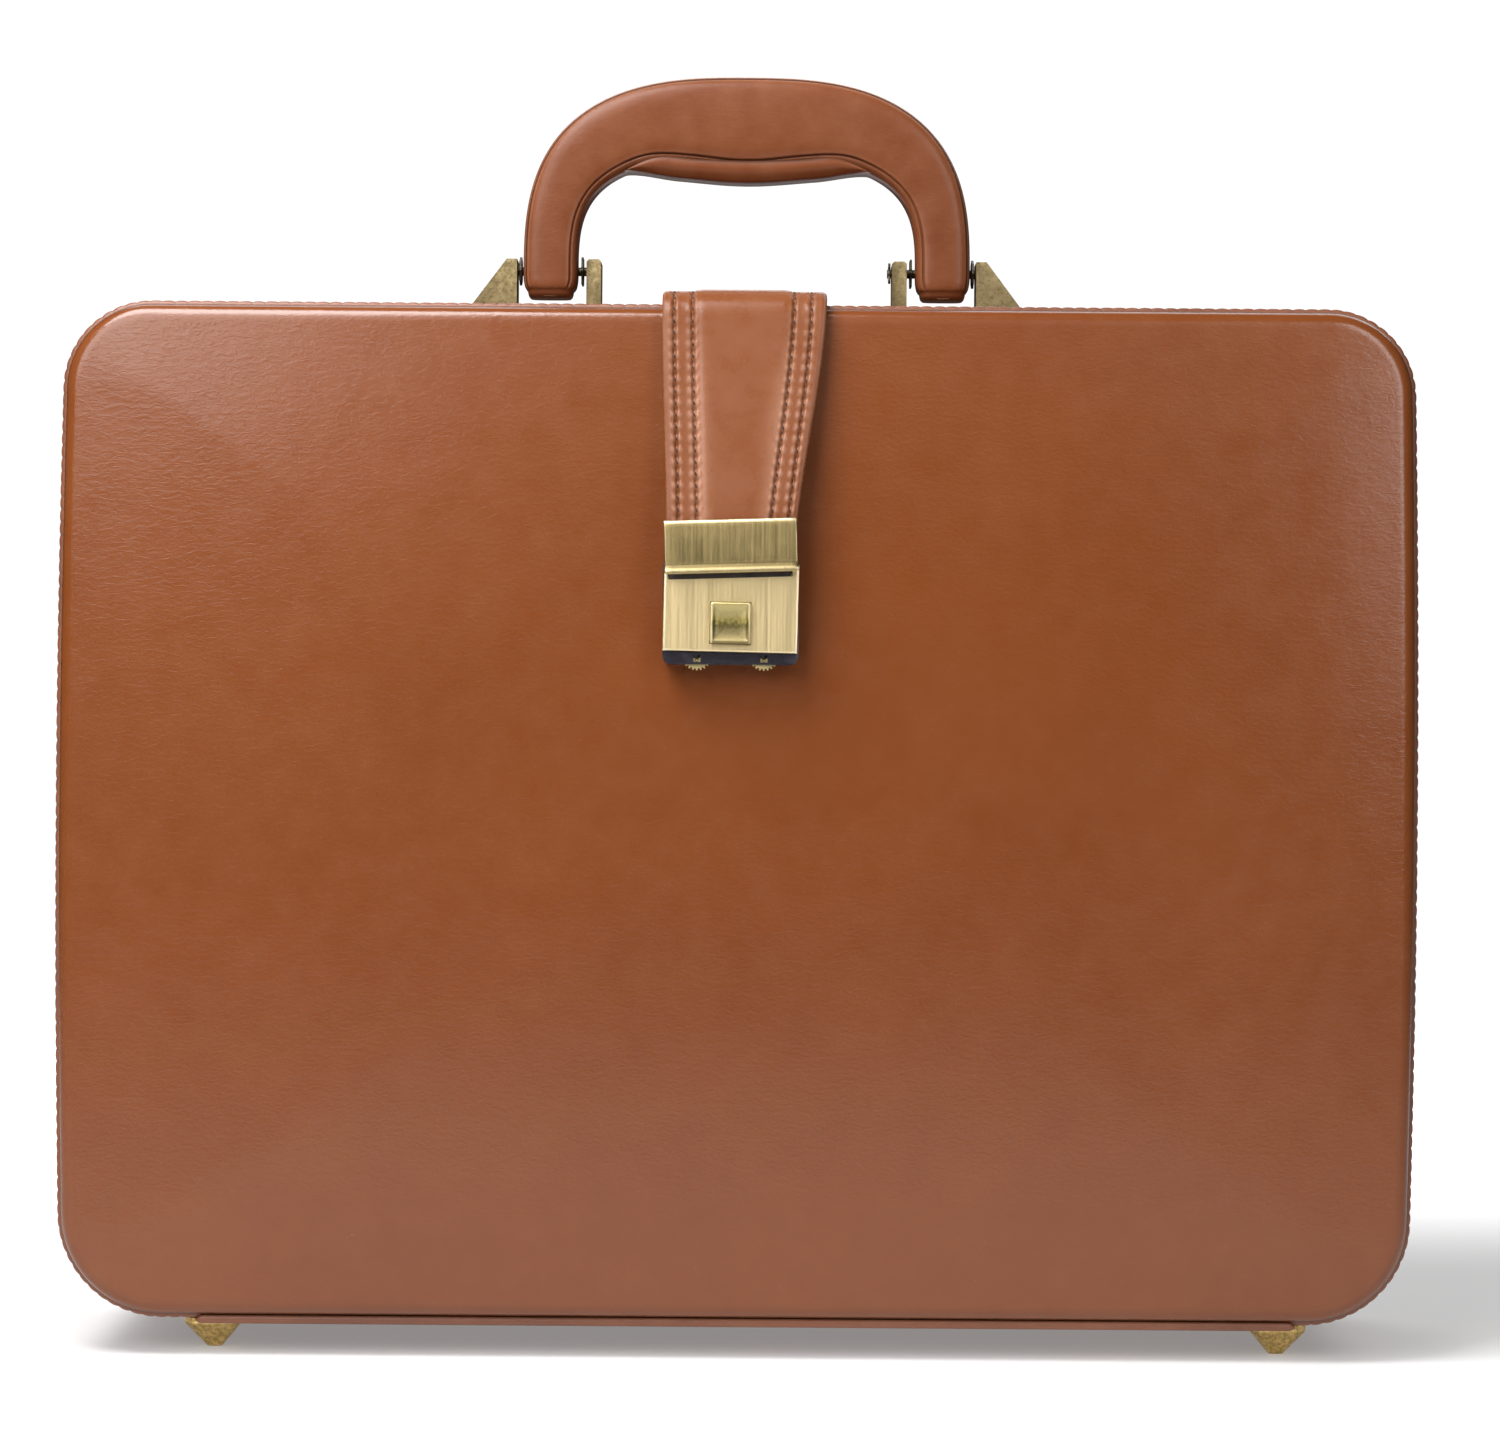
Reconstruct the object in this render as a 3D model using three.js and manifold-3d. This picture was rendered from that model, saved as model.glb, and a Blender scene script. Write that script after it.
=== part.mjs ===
// A hard-sided leather flight bag: two padded leather panels on a wide side band, two lids
// that meet under a swinging handle, and a strap that locks down over the front.
// Millimetres, +Z up, the front panel faces -Y. The origin lies on the floor, under the
// middle of the bag's bounding box.

import * as THREE from "three";
import { mergeVertices } from "three/addons/utils/BufferGeometryUtils.js";
import Module from "manifold-3d";

const wasm = await Module();
wasm.setup();

// ---------------------------------------------------------------- driving dimensions

const GAP = 0.3; // between pieces that touch

// The case, seen from the front: a rounded rectangle whose sides bow out a little.
const CASE_WIDTH = 445;
const CASE_TOP = 344;
const CASE_BOTTOM = 12;
const SIDE_BOW = 1.5;
const TOP_CORNER = 29;
const BOTTOM_CORNER = 34.5;
const BAND_HALF_DEPTH = 54.7; // the side band, from the case's middle plane to its edge

// Layers of the side band, measured in from the outline.
const BAND_COVER = [0.8, 2.2];
const BAND_BOARD = [2.5, 5.5];
const BAND_LINING = [5.8, 6.7];
const BAND_END_X = 189; // where the band stops at each top corner, beside the lids

// Layers of the front and rear panels, measured out from the middle plane.
const LINING_Y = [55.0, 56.6];
const WELT_Y = [55.0, 56.7];
const BOARD_Y = [56.9, 59.4];
const COVER_RIM_Y = 57.0;
const COVER_FLOOR_Y = 59.7;
const COVER_FACE_Y = 64.5;

// The lids. The rear lid reaches past the middle and carries the handle and the strap.
const LID_HALF_LENGTH = 186.5;
const LID_COVER_Z = [342.4, 344.0];
const LID_BOARD_Z = [339.6, 342.1];
const LID_LINING_Z = [338.4, 339.3];
const LID_LEAF_Z = [338.1, 339.3];
const HINGE_Y = 49.5;
const HINGE_Z = 340.3;
const KNUCKLE_RADIUS = 2.2;
const HINGE_PIN_RADIUS = 0.95;
const KNUCKLE_COUNT = 11;
const HINGE_HALF_LENGTH = 186;
const LID_START_Y = HINGE_Y - KNUCKLE_RADIUS - 0.5;
const LEAF_EDGE_Y = 34;
const PARTING_Y = [-8.9, -8.0]; // edges of the front lid and of the rear lid
const DIVIDER_Y = [-17, -14];

// The base strip and the four feet stand a little to the right of the middle.
const BASE_MIDDLE_X = 4;
const BASE_HALF_LENGTH = 178;
const BASE_Z = [10.9, 11.7];
const FOOT_X = 175.6;
const FOOT_Y = 36.5;
const FOOT_WIDTH = 18.4;
const FOOT_TIP = 5.6;

// The handle and its two brackets.
const HANDLE_X = 1.8;
const PIN_Y = 2;
const PIN_Z = 361;
const PIN_RADIUS = 1.5;
const HANDLE_OUTER = { halfWidth: 76, height: 66.3, power: 2.75 };
const HANDLE_INNER = { halfWidth: 57.4, height: 38.2, power: 3.17 };
const HANDLE_DEPTH = 17;
const HANDLE_LEATHER = 1.8;
const LEG_END_DROP = 9;
const BRACKET_DEPTH = 13;
const BRACKET_TOP = 364.6;

// The strap: over the top of the lids, round the front edge and down to the lock.
const STRAP_TOP_X = 1.4;
const STRAP_TOP_WIDTH = 53.5;
const STRAP_END_X = -1.6;
const STRAP_END_WIDTH = 43;
const STRAP_THICKNESS = 4;
const STRAP_UNDER_Z = 344.4;
const STRAP_FOLD_Y = -58.8;
const STRAP_TAIL_Y = 31;

// The lock.
const LOCK_X = -2.4;
const LOCK_WIDTH = 43.8;
const LOCK_Z = [226.2, 258.5];
const LOCK_Y = [-75.0, -64.8];
const FACE_PLATE_Z = [230.1, 258.8];
const FACE_PLATE_Y = [-76.5, -75.3];
const BUTTON_Z = 239.5;
const BUTTON_SIZE = [13.3, 13.6];
const DIAL_OFFSET_X = 10.8;
const DIAL_Z = 229.4;
const DIAL_RADIUS = 5.1;
const DIAL_Y = [-73.6, -71.2];
const DIAL_TEETH = 24;

// The middle of the bounding box lies this far in front of the case's middle plane.
const BOX_MIDDLE_Y = -8;

// ---------------------------------------------------------------- materials

function material(color, roughness, metalness) {
  return new THREE.MeshStandardMaterial({ color, roughness, metalness });
}

const leather = () => material(0x9a5a38, 0.55, 0);
const darkLeather = () => material(0x6f3d26, 0.6, 0);
const board = () => material(0xb59a72, 0.9, 0);
const lining = () => material(0x6b5036, 0.95, 0);
const brass = () => material(0xb09a5e, 0.38, 1);
const steel = () => material(0x8c8c88, 0.4, 1);
const gunmetal = () => material(0x3c3a40, 0.45, 1);
const wood = () => material(0x8a5f3a, 0.7, 0);

const bag = new THREE.Group();
bag.position.y = -BOX_MIDDLE_Y;

function add(name, geometry, look) {
  const mesh = new THREE.Mesh(geometry, look);
  mesh.name = name;
  bag.add(mesh);
  return mesh;
}

// ---------------------------------------------------------------- solids

/** The geometry as a solid that can be cut and joined. */
function toSolid(geometry) {
  const bare = geometry.clone();
  bare.deleteAttribute("normal");
  bare.deleteAttribute("uv");
  const merged = mergeVertices(bare, 1e-4);
  return new wasm.Manifold(
    new wasm.Mesh({
      numProp: 3,
      vertProperties: new Float32Array(merged.attributes.position.array),
      triVerts: new Uint32Array(merged.index.array),
    }),
  );
}

function fromSolid(solid) {
  const mesh = solid.getMesh();
  const geometry = new THREE.BufferGeometry();
  geometry.setAttribute("position", new THREE.BufferAttribute(mesh.vertProperties, 3));
  geometry.setIndex(new THREE.BufferAttribute(mesh.triVerts, 1));
  geometry.computeVertexNormals();
  return geometry;
}

/** The first geometry with all the others joined to it. */
function join(first, others) {
  return fromSolid(others.reduce((solid, other) => solid.add(toSolid(other)), toSolid(first)));
}

/** The first geometry with all the others cut from it. */
function cut(first, others) {
  return fromSolid(
    others.reduce((solid, other) => solid.subtract(toSolid(other)), toSolid(first)),
  );
}

/** A box between two values along each of X, Y and Z. */
function box([x0, x1], [y0, y1], [z0, z1]) {
  const geometry = new THREE.BoxGeometry(x1 - x0, y1 - y0, z1 - z0);
  geometry.translate((x0 + x1) / 2, (y0 + y1) / 2, (z0 + z1) / 2);
  return geometry;
}

/** A shape drawn in X and Z, extruded along Y between two values. */
function slabXZ(shape, [y0, y1]) {
  const geometry = new THREE.ExtrudeGeometry(shape, { depth: y1 - y0, bevelEnabled: false });
  geometry.rotateX(Math.PI / 2);
  geometry.translate(0, y1, 0);
  return geometry;
}

/** A shape drawn in Y and Z, extruded along X between two values. */
function slabYZ(shape, [x0, x1]) {
  const geometry = new THREE.ExtrudeGeometry(shape, { depth: x1 - x0, bevelEnabled: false });
  geometry.applyMatrix4(new THREE.Matrix4().set(0, 0, 1, x0, 1, 0, 0, 0, 0, 1, 0, 0, 0, 0, 0, 1));
  return geometry;
}

/** A cylinder along X, Y or Z between two values, centred on the other two coordinates. */
function rod(axis, [from, to], [u, v], radius, sides = 20) {
  const geometry = new THREE.CylinderGeometry(radius, radius, to - from, sides);
  const middle = (from + to) / 2;
  if (axis === "x") {
    geometry.rotateZ(Math.PI / 2);
    geometry.translate(middle, u, v);
  } else if (axis === "y") {
    geometry.translate(u, middle, v);
  } else {
    geometry.rotateX(Math.PI / 2);
    geometry.translate(u, v, middle);
  }
  return geometry;
}

/** A closed polygon from pairs of coordinates. */
function polygon(pairs) {
  return new THREE.Shape(pairs.map(([u, v]) => new THREE.Vector2(u, v)));
}

/**
 * A solid through a row of closed loops with the same number of points each. The two ends
 * are capped, or the last loop joins the first one when the row closes on itself.
 */
function loft(loops, closesOnItself = false) {
  const count = loops[0].length;
  const positions = loops.flat().flatMap((p) => [p.x, p.y, p.z]);
  const index = [];
  const bands = closesOnItself ? loops.length : loops.length - 1;
  for (let band = 0; band < bands; band += 1) {
    const here = band * count;
    const next = ((band + 1) % loops.length) * count;
    for (let k = 0; k < count; k += 1) {
      const after = (k + 1) % count;
      index.push(here + k, here + after, next + after);
      index.push(here + k, next + after, next + k);
    }
  }
  if (!closesOnItself) {
    const ends = [0, (loops.length - 1) * count];
    ends.forEach((start, end) => {
      const flat = flatten(loops[end === 0 ? 0 : loops.length - 1]);
      const turned = THREE.ShapeUtils.area(flat) < 0;
      for (const [a, b, c] of THREE.ShapeUtils.triangulateShape(turned ? [...flat].reverse() : flat, [])) {
        const corner = (n) => start + (turned ? count - 1 - n : n);
        const facing = (end === 0) !== turned;
        index.push(...(facing ? [corner(c), corner(b), corner(a)] : [corner(a), corner(b), corner(c)]));
      }
    });
  }
  const geometry = new THREE.BufferGeometry();
  geometry.setAttribute("position", new THREE.Float32BufferAttribute(positions, 3));
  geometry.setIndex(index);
  return facingOut(geometry);
}

/** A flat loop of points in space, as points of the plane that it lies in. */
function flatten(loop) {
  const normal = new THREE.Vector3();
  loop.forEach((p, k) => normal.add(new THREE.Vector3().crossVectors(p, loop[(k + 1) % loop.length])));
  normal.normalize();
  const across = new THREE.Vector3().subVectors(loop[1], loop[0]).normalize();
  const up = new THREE.Vector3().crossVectors(normal, across);
  return loop.map((p) => new THREE.Vector2(p.dot(across), p.dot(up)));
}

/** The same geometry, turned inside out if its faces pointed in. */
function facingOut(geometry) {
  const index = geometry.index.array;
  const [a, b, c] = [new THREE.Vector3(), new THREE.Vector3(), new THREE.Vector3()];
  let volume = 0;
  for (let k = 0; k < index.length; k += 3) {
    a.fromBufferAttribute(geometry.attributes.position, index[k]);
    b.fromBufferAttribute(geometry.attributes.position, index[k + 1]);
    c.fromBufferAttribute(geometry.attributes.position, index[k + 2]);
    volume += a.dot(b.cross(c));
  }
  if (volume < 0) {
    for (let k = 0; k < index.length; k += 3) {
      [index[k], index[k + 1]] = [index[k + 1], index[k]];
    }
  }
  geometry.computeVertexNormals();
  return geometry;
}

// ---------------------------------------------------------------- the case's outline

const SIDE_X = CASE_WIDTH / 2 - SIDE_BOW; // where the corners' arcs meet the sides
const CORNER_STEPS = 7;
const SIDE_STEPS = 6;

/** Points of one corner's arc, centred on (x, z), from one angle to another in degrees. */
function corner(x, z, radius, from, to) {
  return Array.from({ length: CORNER_STEPS + 1 }, (_, k) => {
    const angle = THREE.MathUtils.degToRad(from + ((to - from) * k) / CORNER_STEPS);
    return new THREE.Vector2(x + radius * Math.cos(angle), z + radius * Math.sin(angle));
  });
}

/** Points up the right side between the corners, bowed out by SIDE_BOW at mid height. */
function side(inset) {
  const low = CASE_BOTTOM + Math.max(BOTTOM_CORNER, inset + 4);
  const high = CASE_TOP - Math.max(TOP_CORNER, inset + 4);
  return Array.from({ length: SIDE_STEPS - 1 }, (_, k) => {
    const s = (2 * (k + 1)) / SIDE_STEPS - 1;
    const z = low + ((s + 1) / 2) * (high - low);
    return new THREE.Vector2(SIDE_X - inset + SIDE_BOW * (1 - s * s), z);
  });
}

/** The right half of the outline, from the middle of the base up to the middle of the top. */
function rightHalf(inset) {
  const low = Math.max(BOTTOM_CORNER - inset, 4);
  const high = Math.max(TOP_CORNER - inset, 4);
  return [
    ...corner(SIDE_X - inset - low, CASE_BOTTOM + inset + low, low, -90, 0),
    ...side(inset),
    ...corner(SIDE_X - inset - high, CASE_TOP - inset - high, high, 0, 90),
  ];
}

const mirrored = (points) => points.map((p) => new THREE.Vector2(-p.x, p.y)).reverse();

/** The whole outline, moved in by inset, as points in X and Z. */
const outline = (inset) => [...rightHalf(inset), ...mirrored(rightHalf(inset))];

/** The outline as a loop in space, at one Y. */
const outlineAt = (inset, y) => outline(inset).map((p) => new THREE.Vector3(p.x, y, p.y));

/** A plate with the case's outline. */
const panelPlate = (inset, range) => slabXZ(new THREE.Shape(outline(inset)), range);

/** Two values mirrored to the other side of the middle plane. */
const behind = ([low, high]) => [-high, -low];

// ---------------------------------------------------------------- front and rear panels

/** A padded leather cover: a shallow tray over the board, with a crowned face. */
function paddedCover(way) {
  const profile = [
    [3.2, COVER_FLOOR_Y],
    [3.2, COVER_RIM_Y],
    [1.6, COVER_RIM_Y],
    [1.6, 61.2],
    [2.6, 62.8],
    [5.0, 63.7],
    [14.0, 64.2],
    [40.0, COVER_FACE_Y],
  ];
  return loft(profile.map(([inset, y]) => outlineAt(inset, way * y)));
}

/** The piping round a panel's edge. */
function welt(way) {
  const [low, high] = WELT_Y;
  const section = [
    [0.4, low],
    [0, low + 0.4],
    [0, high - 0.4],
    [0.4, high],
    [3.0, high],
    [3.0, low],
  ];
  return loft(
    section.map(([inset, y]) => outlineAt(inset, way * y)),
    true,
  );
}

// The lock's two studs pass through the front panel.
const STUD_X = [LOCK_X - 15, LOCK_X + 15];
const STUD_Z = 251;
const studHoles = (radius) => STUD_X.map((x) => rod("y", [-70, -50], [x, STUD_Z], radius, 12));

add("front_cover", cut(paddedCover(-1), studHoles(1.8)), leather());
add("front_board", cut(panelPlate(3.5, behind(BOARD_Y)), studHoles(1.8)), board());
add("front_lining", cut(panelPlate(3.3, behind(LINING_Y)), studHoles(1.8)), lining());
add("front_welt", welt(-1), darkLeather());
add("rear_cover", paddedCover(1), leather());
add("rear_board", panelPlate(3.5, BOARD_Y), board());
add("rear_lining", panelPlate(3.3, LINING_Y), lining());
add("rear_welt", welt(1), darkLeather());

// ---------------------------------------------------------------- the side band

/** The right half of the outline, with its last point moved along the top to where the band stops. */
function rightBandPath(inset) {
  return [...rightHalf(inset), new THREE.Vector2(BAND_END_X, CASE_TOP - inset)];
}

/** A layer of the band between two insets, along one path, as a shape. */
function bandShape(path, [outer, inner]) {
  return new THREE.Shape([...path(outer), ...path(inner).reverse()]);
}

const wholeBandPath = (inset) => [...mirrored(rightBandPath(inset)), ...rightBandPath(inset)];
const rightBoardPath = (inset) => rightBandPath(inset);
const leftBoardPath = (inset) => mirrored(rightBandPath(inset));
const bandRange = [-BAND_HALF_DEPTH, BAND_HALF_DEPTH];

const FEET = [
  ["foot_front_left", -1, -1],
  ["foot_front_right", 1, -1],
  ["foot_rear_left", -1, 1],
  ["foot_rear_right", 1, 1],
].map(([name, sideways, back]) => ({
  name,
  x: BASE_MIDDLE_X + sideways * FOOT_X,
  y: back * FOOT_Y,
}));
const FOOT_STUD_RADIUS = 1.8;
const footHoles = FEET.map(({ x, y }) => rod("z", [5, 30], [x, y], FOOT_STUD_RADIUS + GAP, 12));

add("band_cover", cut(slabXZ(bandShape(wholeBandPath, BAND_COVER), bandRange), footHoles), leather());
add("side_board_left", slabXZ(bandShape(leftBoardPath, BAND_BOARD), bandRange), board());
add("side_board_right", slabXZ(bandShape(rightBoardPath, BAND_BOARD), bandRange), board());
const bottomHalfLength = SIDE_X - BOTTOM_CORNER - GAP;
const bottomBoard = box([-bottomHalfLength, bottomHalfLength], bandRange, [
  CASE_BOTTOM + BAND_BOARD[0],
  CASE_BOTTOM + BAND_BOARD[1],
]);
add("bottom_board", cut(bottomBoard, footHoles), board());
add("band_lining", slabXZ(bandShape(wholeBandPath, BAND_LINING), bandRange), lining());

// ---------------------------------------------------------------- base strip and feet

const baseEnds = [BASE_MIDDLE_X - BASE_HALF_LENGTH, BASE_MIDDLE_X + BASE_HALF_LENGTH];
add("base_plate", cut(box(baseEnds, [-56.4, 56.4], BASE_Z), footHoles), leather());

/** A square with its corners cut off, as a loop at one height. */
function footLoop(x, y, z, width) {
  const half = width / 2;
  const chamfer = half * 0.72;
  return [
    [half, chamfer],
    [chamfer, half],
    [-chamfer, half],
    [-half, chamfer],
    [-half, -chamfer],
    [-chamfer, -half],
    [chamfer, -half],
    [half, -chamfer],
  ].map(([u, v]) => new THREE.Vector3(x + u, y + v, z));
}

/** A pyramid stud: a low rim, four sloping sides, a flat tip and a stud into the case. */
function foot(x, y) {
  const top = BASE_Z[0] - GAP;
  const pyramid = loft([
    footLoop(x, y, 0, FOOT_TIP - 0.8),
    footLoop(x, y, 0.5, FOOT_TIP),
    footLoop(x, y, 8.2, FOOT_WIDTH),
    footLoop(x, y, top, FOOT_WIDTH),
  ]);
  return join(pyramid, [rod("z", [top - 1, CASE_BOTTOM + 5], [x, y], FOOT_STUD_RADIUS, 12)]);
}

FEET.forEach(({ name, x, y }) => add(name, foot(x, y), brass()));

// ---------------------------------------------------------------- rims and piano hinges

const rimRange = [-LID_HALF_LENGTH - 1.5, LID_HALF_LENGTH + 1.5];
const rimZ = [316, 340.5];
add("front_rim", box(rimRange, [-BAND_HALF_DEPTH, -52], rimZ), wood());
add("rear_rim", box(rimRange, [52, BAND_HALF_DEPTH], rimZ), wood());

const knucklePitch = (2 * HINGE_HALF_LENGTH) / KNUCKLE_COUNT;

/** The span along X of one knuckle of the hinge, widened at both ends by extra. */
function knuckleSpan(k, extra) {
  const start = -HINGE_HALF_LENGTH + k * knucklePitch;
  return [start + 0.25 - extra, start + knucklePitch - 0.25 + extra];
}

/**
 * A hinge leaf: a flat strip that ends at the hinge's axis, every second knuckle along it,
 * and a notch for each knuckle of the other leaf. way is -1 at the front and 1 at the rear.
 */
function hingeLeaf(way, firstKnuckle, strip, notch) {
  const own = [];
  const others = [];
  for (let k = 0; k < KNUCKLE_COUNT; k += 1) {
    if (k % 2 === firstKnuckle) {
      own.push(rod("x", knuckleSpan(k, 0), [way * HINGE_Y, HINGE_Z], KNUCKLE_RADIUS, 16));
    } else {
      others.push(box(knuckleSpan(k, 0.5), ...notch));
    }
  }
  const bore = rod(
    "x",
    [-HINGE_HALF_LENGTH - 5, HINGE_HALF_LENGTH + 5],
    [way * HINGE_Y, HINGE_Z],
    HINGE_PIN_RADIUS + GAP,
    12,
  );
  return cut(join(strip, own), [...others, bore]);
}

/** A range along Y, given by its distances from the middle, on the front or the rear side. */
const onSide = (way, [near, far]) => (way > 0 ? [near, far] : [-far, -near]);

function caseLeaf(way) {
  const strip = box(
    [-HINGE_HALF_LENGTH + 0.25, HINGE_HALF_LENGTH - 0.25],
    onSide(way, [HINGE_Y + KNUCKLE_RADIUS - 1.2, HINGE_Y + KNUCKLE_RADIUS]),
    [320, HINGE_Z],
  );
  const notch = [
    onSide(way, [HINGE_Y - 4, HINGE_Y + 4]),
    [HINGE_Z - KNUCKLE_RADIUS - 0.5, HINGE_Z + 4],
  ];
  return hingeLeaf(way, 0, strip, notch);
}

function lidLeaf(way) {
  const strip = box(
    [-HINGE_HALF_LENGTH + 0.25, HINGE_HALF_LENGTH - 0.25],
    onSide(way, [LEAF_EDGE_Y, HINGE_Y]),
    LID_LEAF_Z,
  );
  const notch = [
    onSide(way, [HINGE_Y - KNUCKLE_RADIUS - 0.5, HINGE_Y + 4]),
    [HINGE_Z - 4, HINGE_Z + 4],
  ];
  return hingeLeaf(way, 1, strip, notch);
}

const hingePin = (way) =>
  rod(
    "x",
    [-HINGE_HALF_LENGTH - 0.4, HINGE_HALF_LENGTH + 0.4],
    [way * HINGE_Y, HINGE_Z],
    HINGE_PIN_RADIUS,
    12,
  );

add("front_case_leaf", caseLeaf(-1), steel());
add("rear_case_leaf", caseLeaf(1), steel());
add("front_hinge_pin", hingePin(-1), steel());
add("rear_hinge_pin", hingePin(1), steel());

// ---------------------------------------------------------------- divider

// It fills the case's section, and the lids' meeting edges rest on its top edge.
add("divider", panelPlate(7.4, DIVIDER_Y), lining());

// ---------------------------------------------------------------- lids

const lidX = [-LID_HALF_LENGTH, LID_HALF_LENGTH];
const bracketStudX = [-66, 66].map((x) => HANDLE_X + x);
const bracketHoles = bracketStudX.map((x) => rod("z", [330, 350], [x, PIN_Y], 2.1, 12));
const anchorStudX = [-15, 15].map((x) => STRAP_TOP_X + x);
const ANCHOR_Y = 25;
const anchorHoles = anchorStudX.map((x) => rod("z", [330, 352], [x, ANCHOR_Y], 1.9, 12));
const lidHoles = [...bracketHoles, ...anchorHoles];

add("front_lid_cover", box(lidX, [-LID_START_Y, PARTING_Y[0]], LID_COVER_Z), leather());
add("front_lid_board", box(lidX, [-LID_START_Y, PARTING_Y[0]], LID_BOARD_Z), board());
add("front_lid_lining", box(lidX, [-LEAF_EDGE_Y + GAP, PARTING_Y[0]], LID_LINING_Z), lining());
add("front_lid_leaf", lidLeaf(-1), steel());
add("front_lid_edge_bar", box([-180, 180], [-18, -2], [336.9, 338.1]), steel());

const rearLidY = [PARTING_Y[1], LID_START_Y];
add("rear_lid_cover", cut(box(lidX, rearLidY, LID_COVER_Z), lidHoles), leather());
add("rear_lid_board", cut(box(lidX, rearLidY, LID_BOARD_Z), lidHoles), board());
const rearLidLining = box(lidX, [PARTING_Y[1], LEAF_EDGE_Y - GAP], LID_LINING_Z);
add("rear_lid_lining", cut(rearLidLining, lidHoles), lining());
add("rear_lid_leaf", lidLeaf(1), steel());

// ---------------------------------------------------------------- handle brackets and pins

/**
 * A cast bracket: a foot plate under the handle's leg, a sloping outer ear, an inner post,
 * a bore for the pin through both and a stud down through the lid.
 */
function bracket(way) {
  const base = 346.8;
  const low = LID_COVER_Z[1] + GAP;
  const profile = [
    [49.4, low],
    [95.3, low],
    [95.3, 346.2],
    [81.5, BRACKET_TOP],
    [78.0, BRACKET_TOP],
    [78.0, base],
    [54.4, base],
    [54.4, BRACKET_TOP - 0.8],
    [53.6, BRACKET_TOP],
    [50.2, BRACKET_TOP],
    [49.4, BRACKET_TOP - 0.8],
  ].map(([x, z]) => [HANDLE_X + way * x, z]);
  const body = slabXZ(polygon(way > 0 ? profile : profile.reverse()), [
    PIN_Y - BRACKET_DEPTH / 2,
    PIN_Y + BRACKET_DEPTH / 2,
  ]);
  const stud = rod("z", [LID_LINING_Z[0], base - 1], [HANDLE_X + way * 66, PIN_Y], 1.8, 12);
  const reach = [46, 82.1].map((x) => HANDLE_X + way * x).sort((a, b) => a - b);
  return cut(join(body, [stud]), [rod("x", reach, [PIN_Y, PIN_Z], PIN_RADIUS + GAP)]);
}

/** A ring round the pin, between two distances from the handle's middle. */
function pinRing(way, span, radius) {
  const range = span.map((x) => HANDLE_X + way * x).sort((a, b) => a - b);
  const wide = [range[0] - 1, range[1] + 1];
  return cut(rod("x", range, [PIN_Y, PIN_Z], radius), [
    rod("x", wide, [PIN_Y, PIN_Z], PIN_RADIUS + GAP),
  ]);
}

for (const [word, way] of [
  ["left", -1],
  ["right", 1],
]) {
  add(`bracket_${word}`, bracket(way), brass());
  const inner = way > 0 ? 47.9 : 49.4;
  const pinRange = [inner, 81.6].map((x) => HANDLE_X + way * x).sort((a, b) => a - b);
  add(`handle_pin_${word}`, rod("x", pinRange, [PIN_Y, PIN_Z], PIN_RADIUS), steel());
  add(`outer_washer_${word}`, pinRing(way, [76.3, 77.6], 4.2), gunmetal());
  add(`inner_washer_${word}`, pinRing(way, [55.6, 57.0], 4.0), gunmetal());
}
add("pin_clip", pinRing(1, [48.2, 49.1], 2.9), gunmetal());

// ---------------------------------------------------------------- handle

/** A point on a superellipse arch, where angle runs from 0 at the right to pi at the left. */
function archPoint({ halfWidth, height, power }, angle) {
  const c = Math.cos(angle);
  const s = Math.sin(angle);
  const x = halfWidth * Math.sign(c) * Math.abs(c) ** (2 / power);
  const z = height * Math.abs(s) ** (2 / power);
  return new THREE.Vector2(HANDLE_X + x, PIN_Z + z);
}

const ARCH_STEPS = 20;
const SECTION_SIDES = 12;

/**
 * The handle's sections, one loop each from the right leg's end to the left leg's end. Each
 * is a rounded rectangle between the inner and the outer arch, smaller by wall all round.
 */
function handleSections(wall) {
  const pairs = [];
  for (let k = 0; k <= ARCH_STEPS; k += 1) {
    const angle = (Math.PI * k) / ARCH_STEPS;
    pairs.push([archPoint(HANDLE_INNER, angle), archPoint(HANDLE_OUTER, angle)]);
  }
  const legEnd = (way, drop, squeeze) => {
    const inner = new THREE.Vector2(HANDLE_X + way * (57.4 + squeeze), PIN_Z - drop);
    const outer = new THREE.Vector2(HANDLE_X + way * (76.0 - squeeze), PIN_Z - drop);
    return [inner, outer];
  };
  pairs.unshift(legEnd(1, LEG_END_DROP, 3.1), legEnd(1, LEG_END_DROP - 3.4, 0.6));
  pairs.push(legEnd(-1, LEG_END_DROP - 3.4, 0.6), legEnd(-1, LEG_END_DROP, 3.1));
  return pairs.map(([inner, outer]) => {
    const middle = new THREE.Vector2().addVectors(inner, outer).multiplyScalar(0.5);
    const half = new THREE.Vector2().subVectors(outer, inner).multiplyScalar(0.5);
    const along = (half.length() - wall) / half.length();
    return Array.from({ length: SECTION_SIDES }, (_, n) => {
      const turn = (2 * Math.PI * (n + 0.5)) / SECTION_SIDES;
      const across = Math.sign(Math.cos(turn)) * Math.abs(Math.cos(turn)) ** 0.6;
      const deep = Math.sign(Math.sin(turn)) * Math.abs(Math.sin(turn)) ** 0.6;
      return new THREE.Vector3(
        middle.x + half.x * across * along,
        PIN_Y + (HANDLE_DEPTH / 2 - wall) * deep,
        middle.y + half.y * across * along,
      );
    });
  });
}

const pinBores = (radius) =>
  [-1, 1].map((way) => {
    const range = [54, 80].map((x) => HANDLE_X + way * x).sort((a, b) => a - b);
    return rod("x", range, [PIN_Y, PIN_Z], radius);
  });

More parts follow.
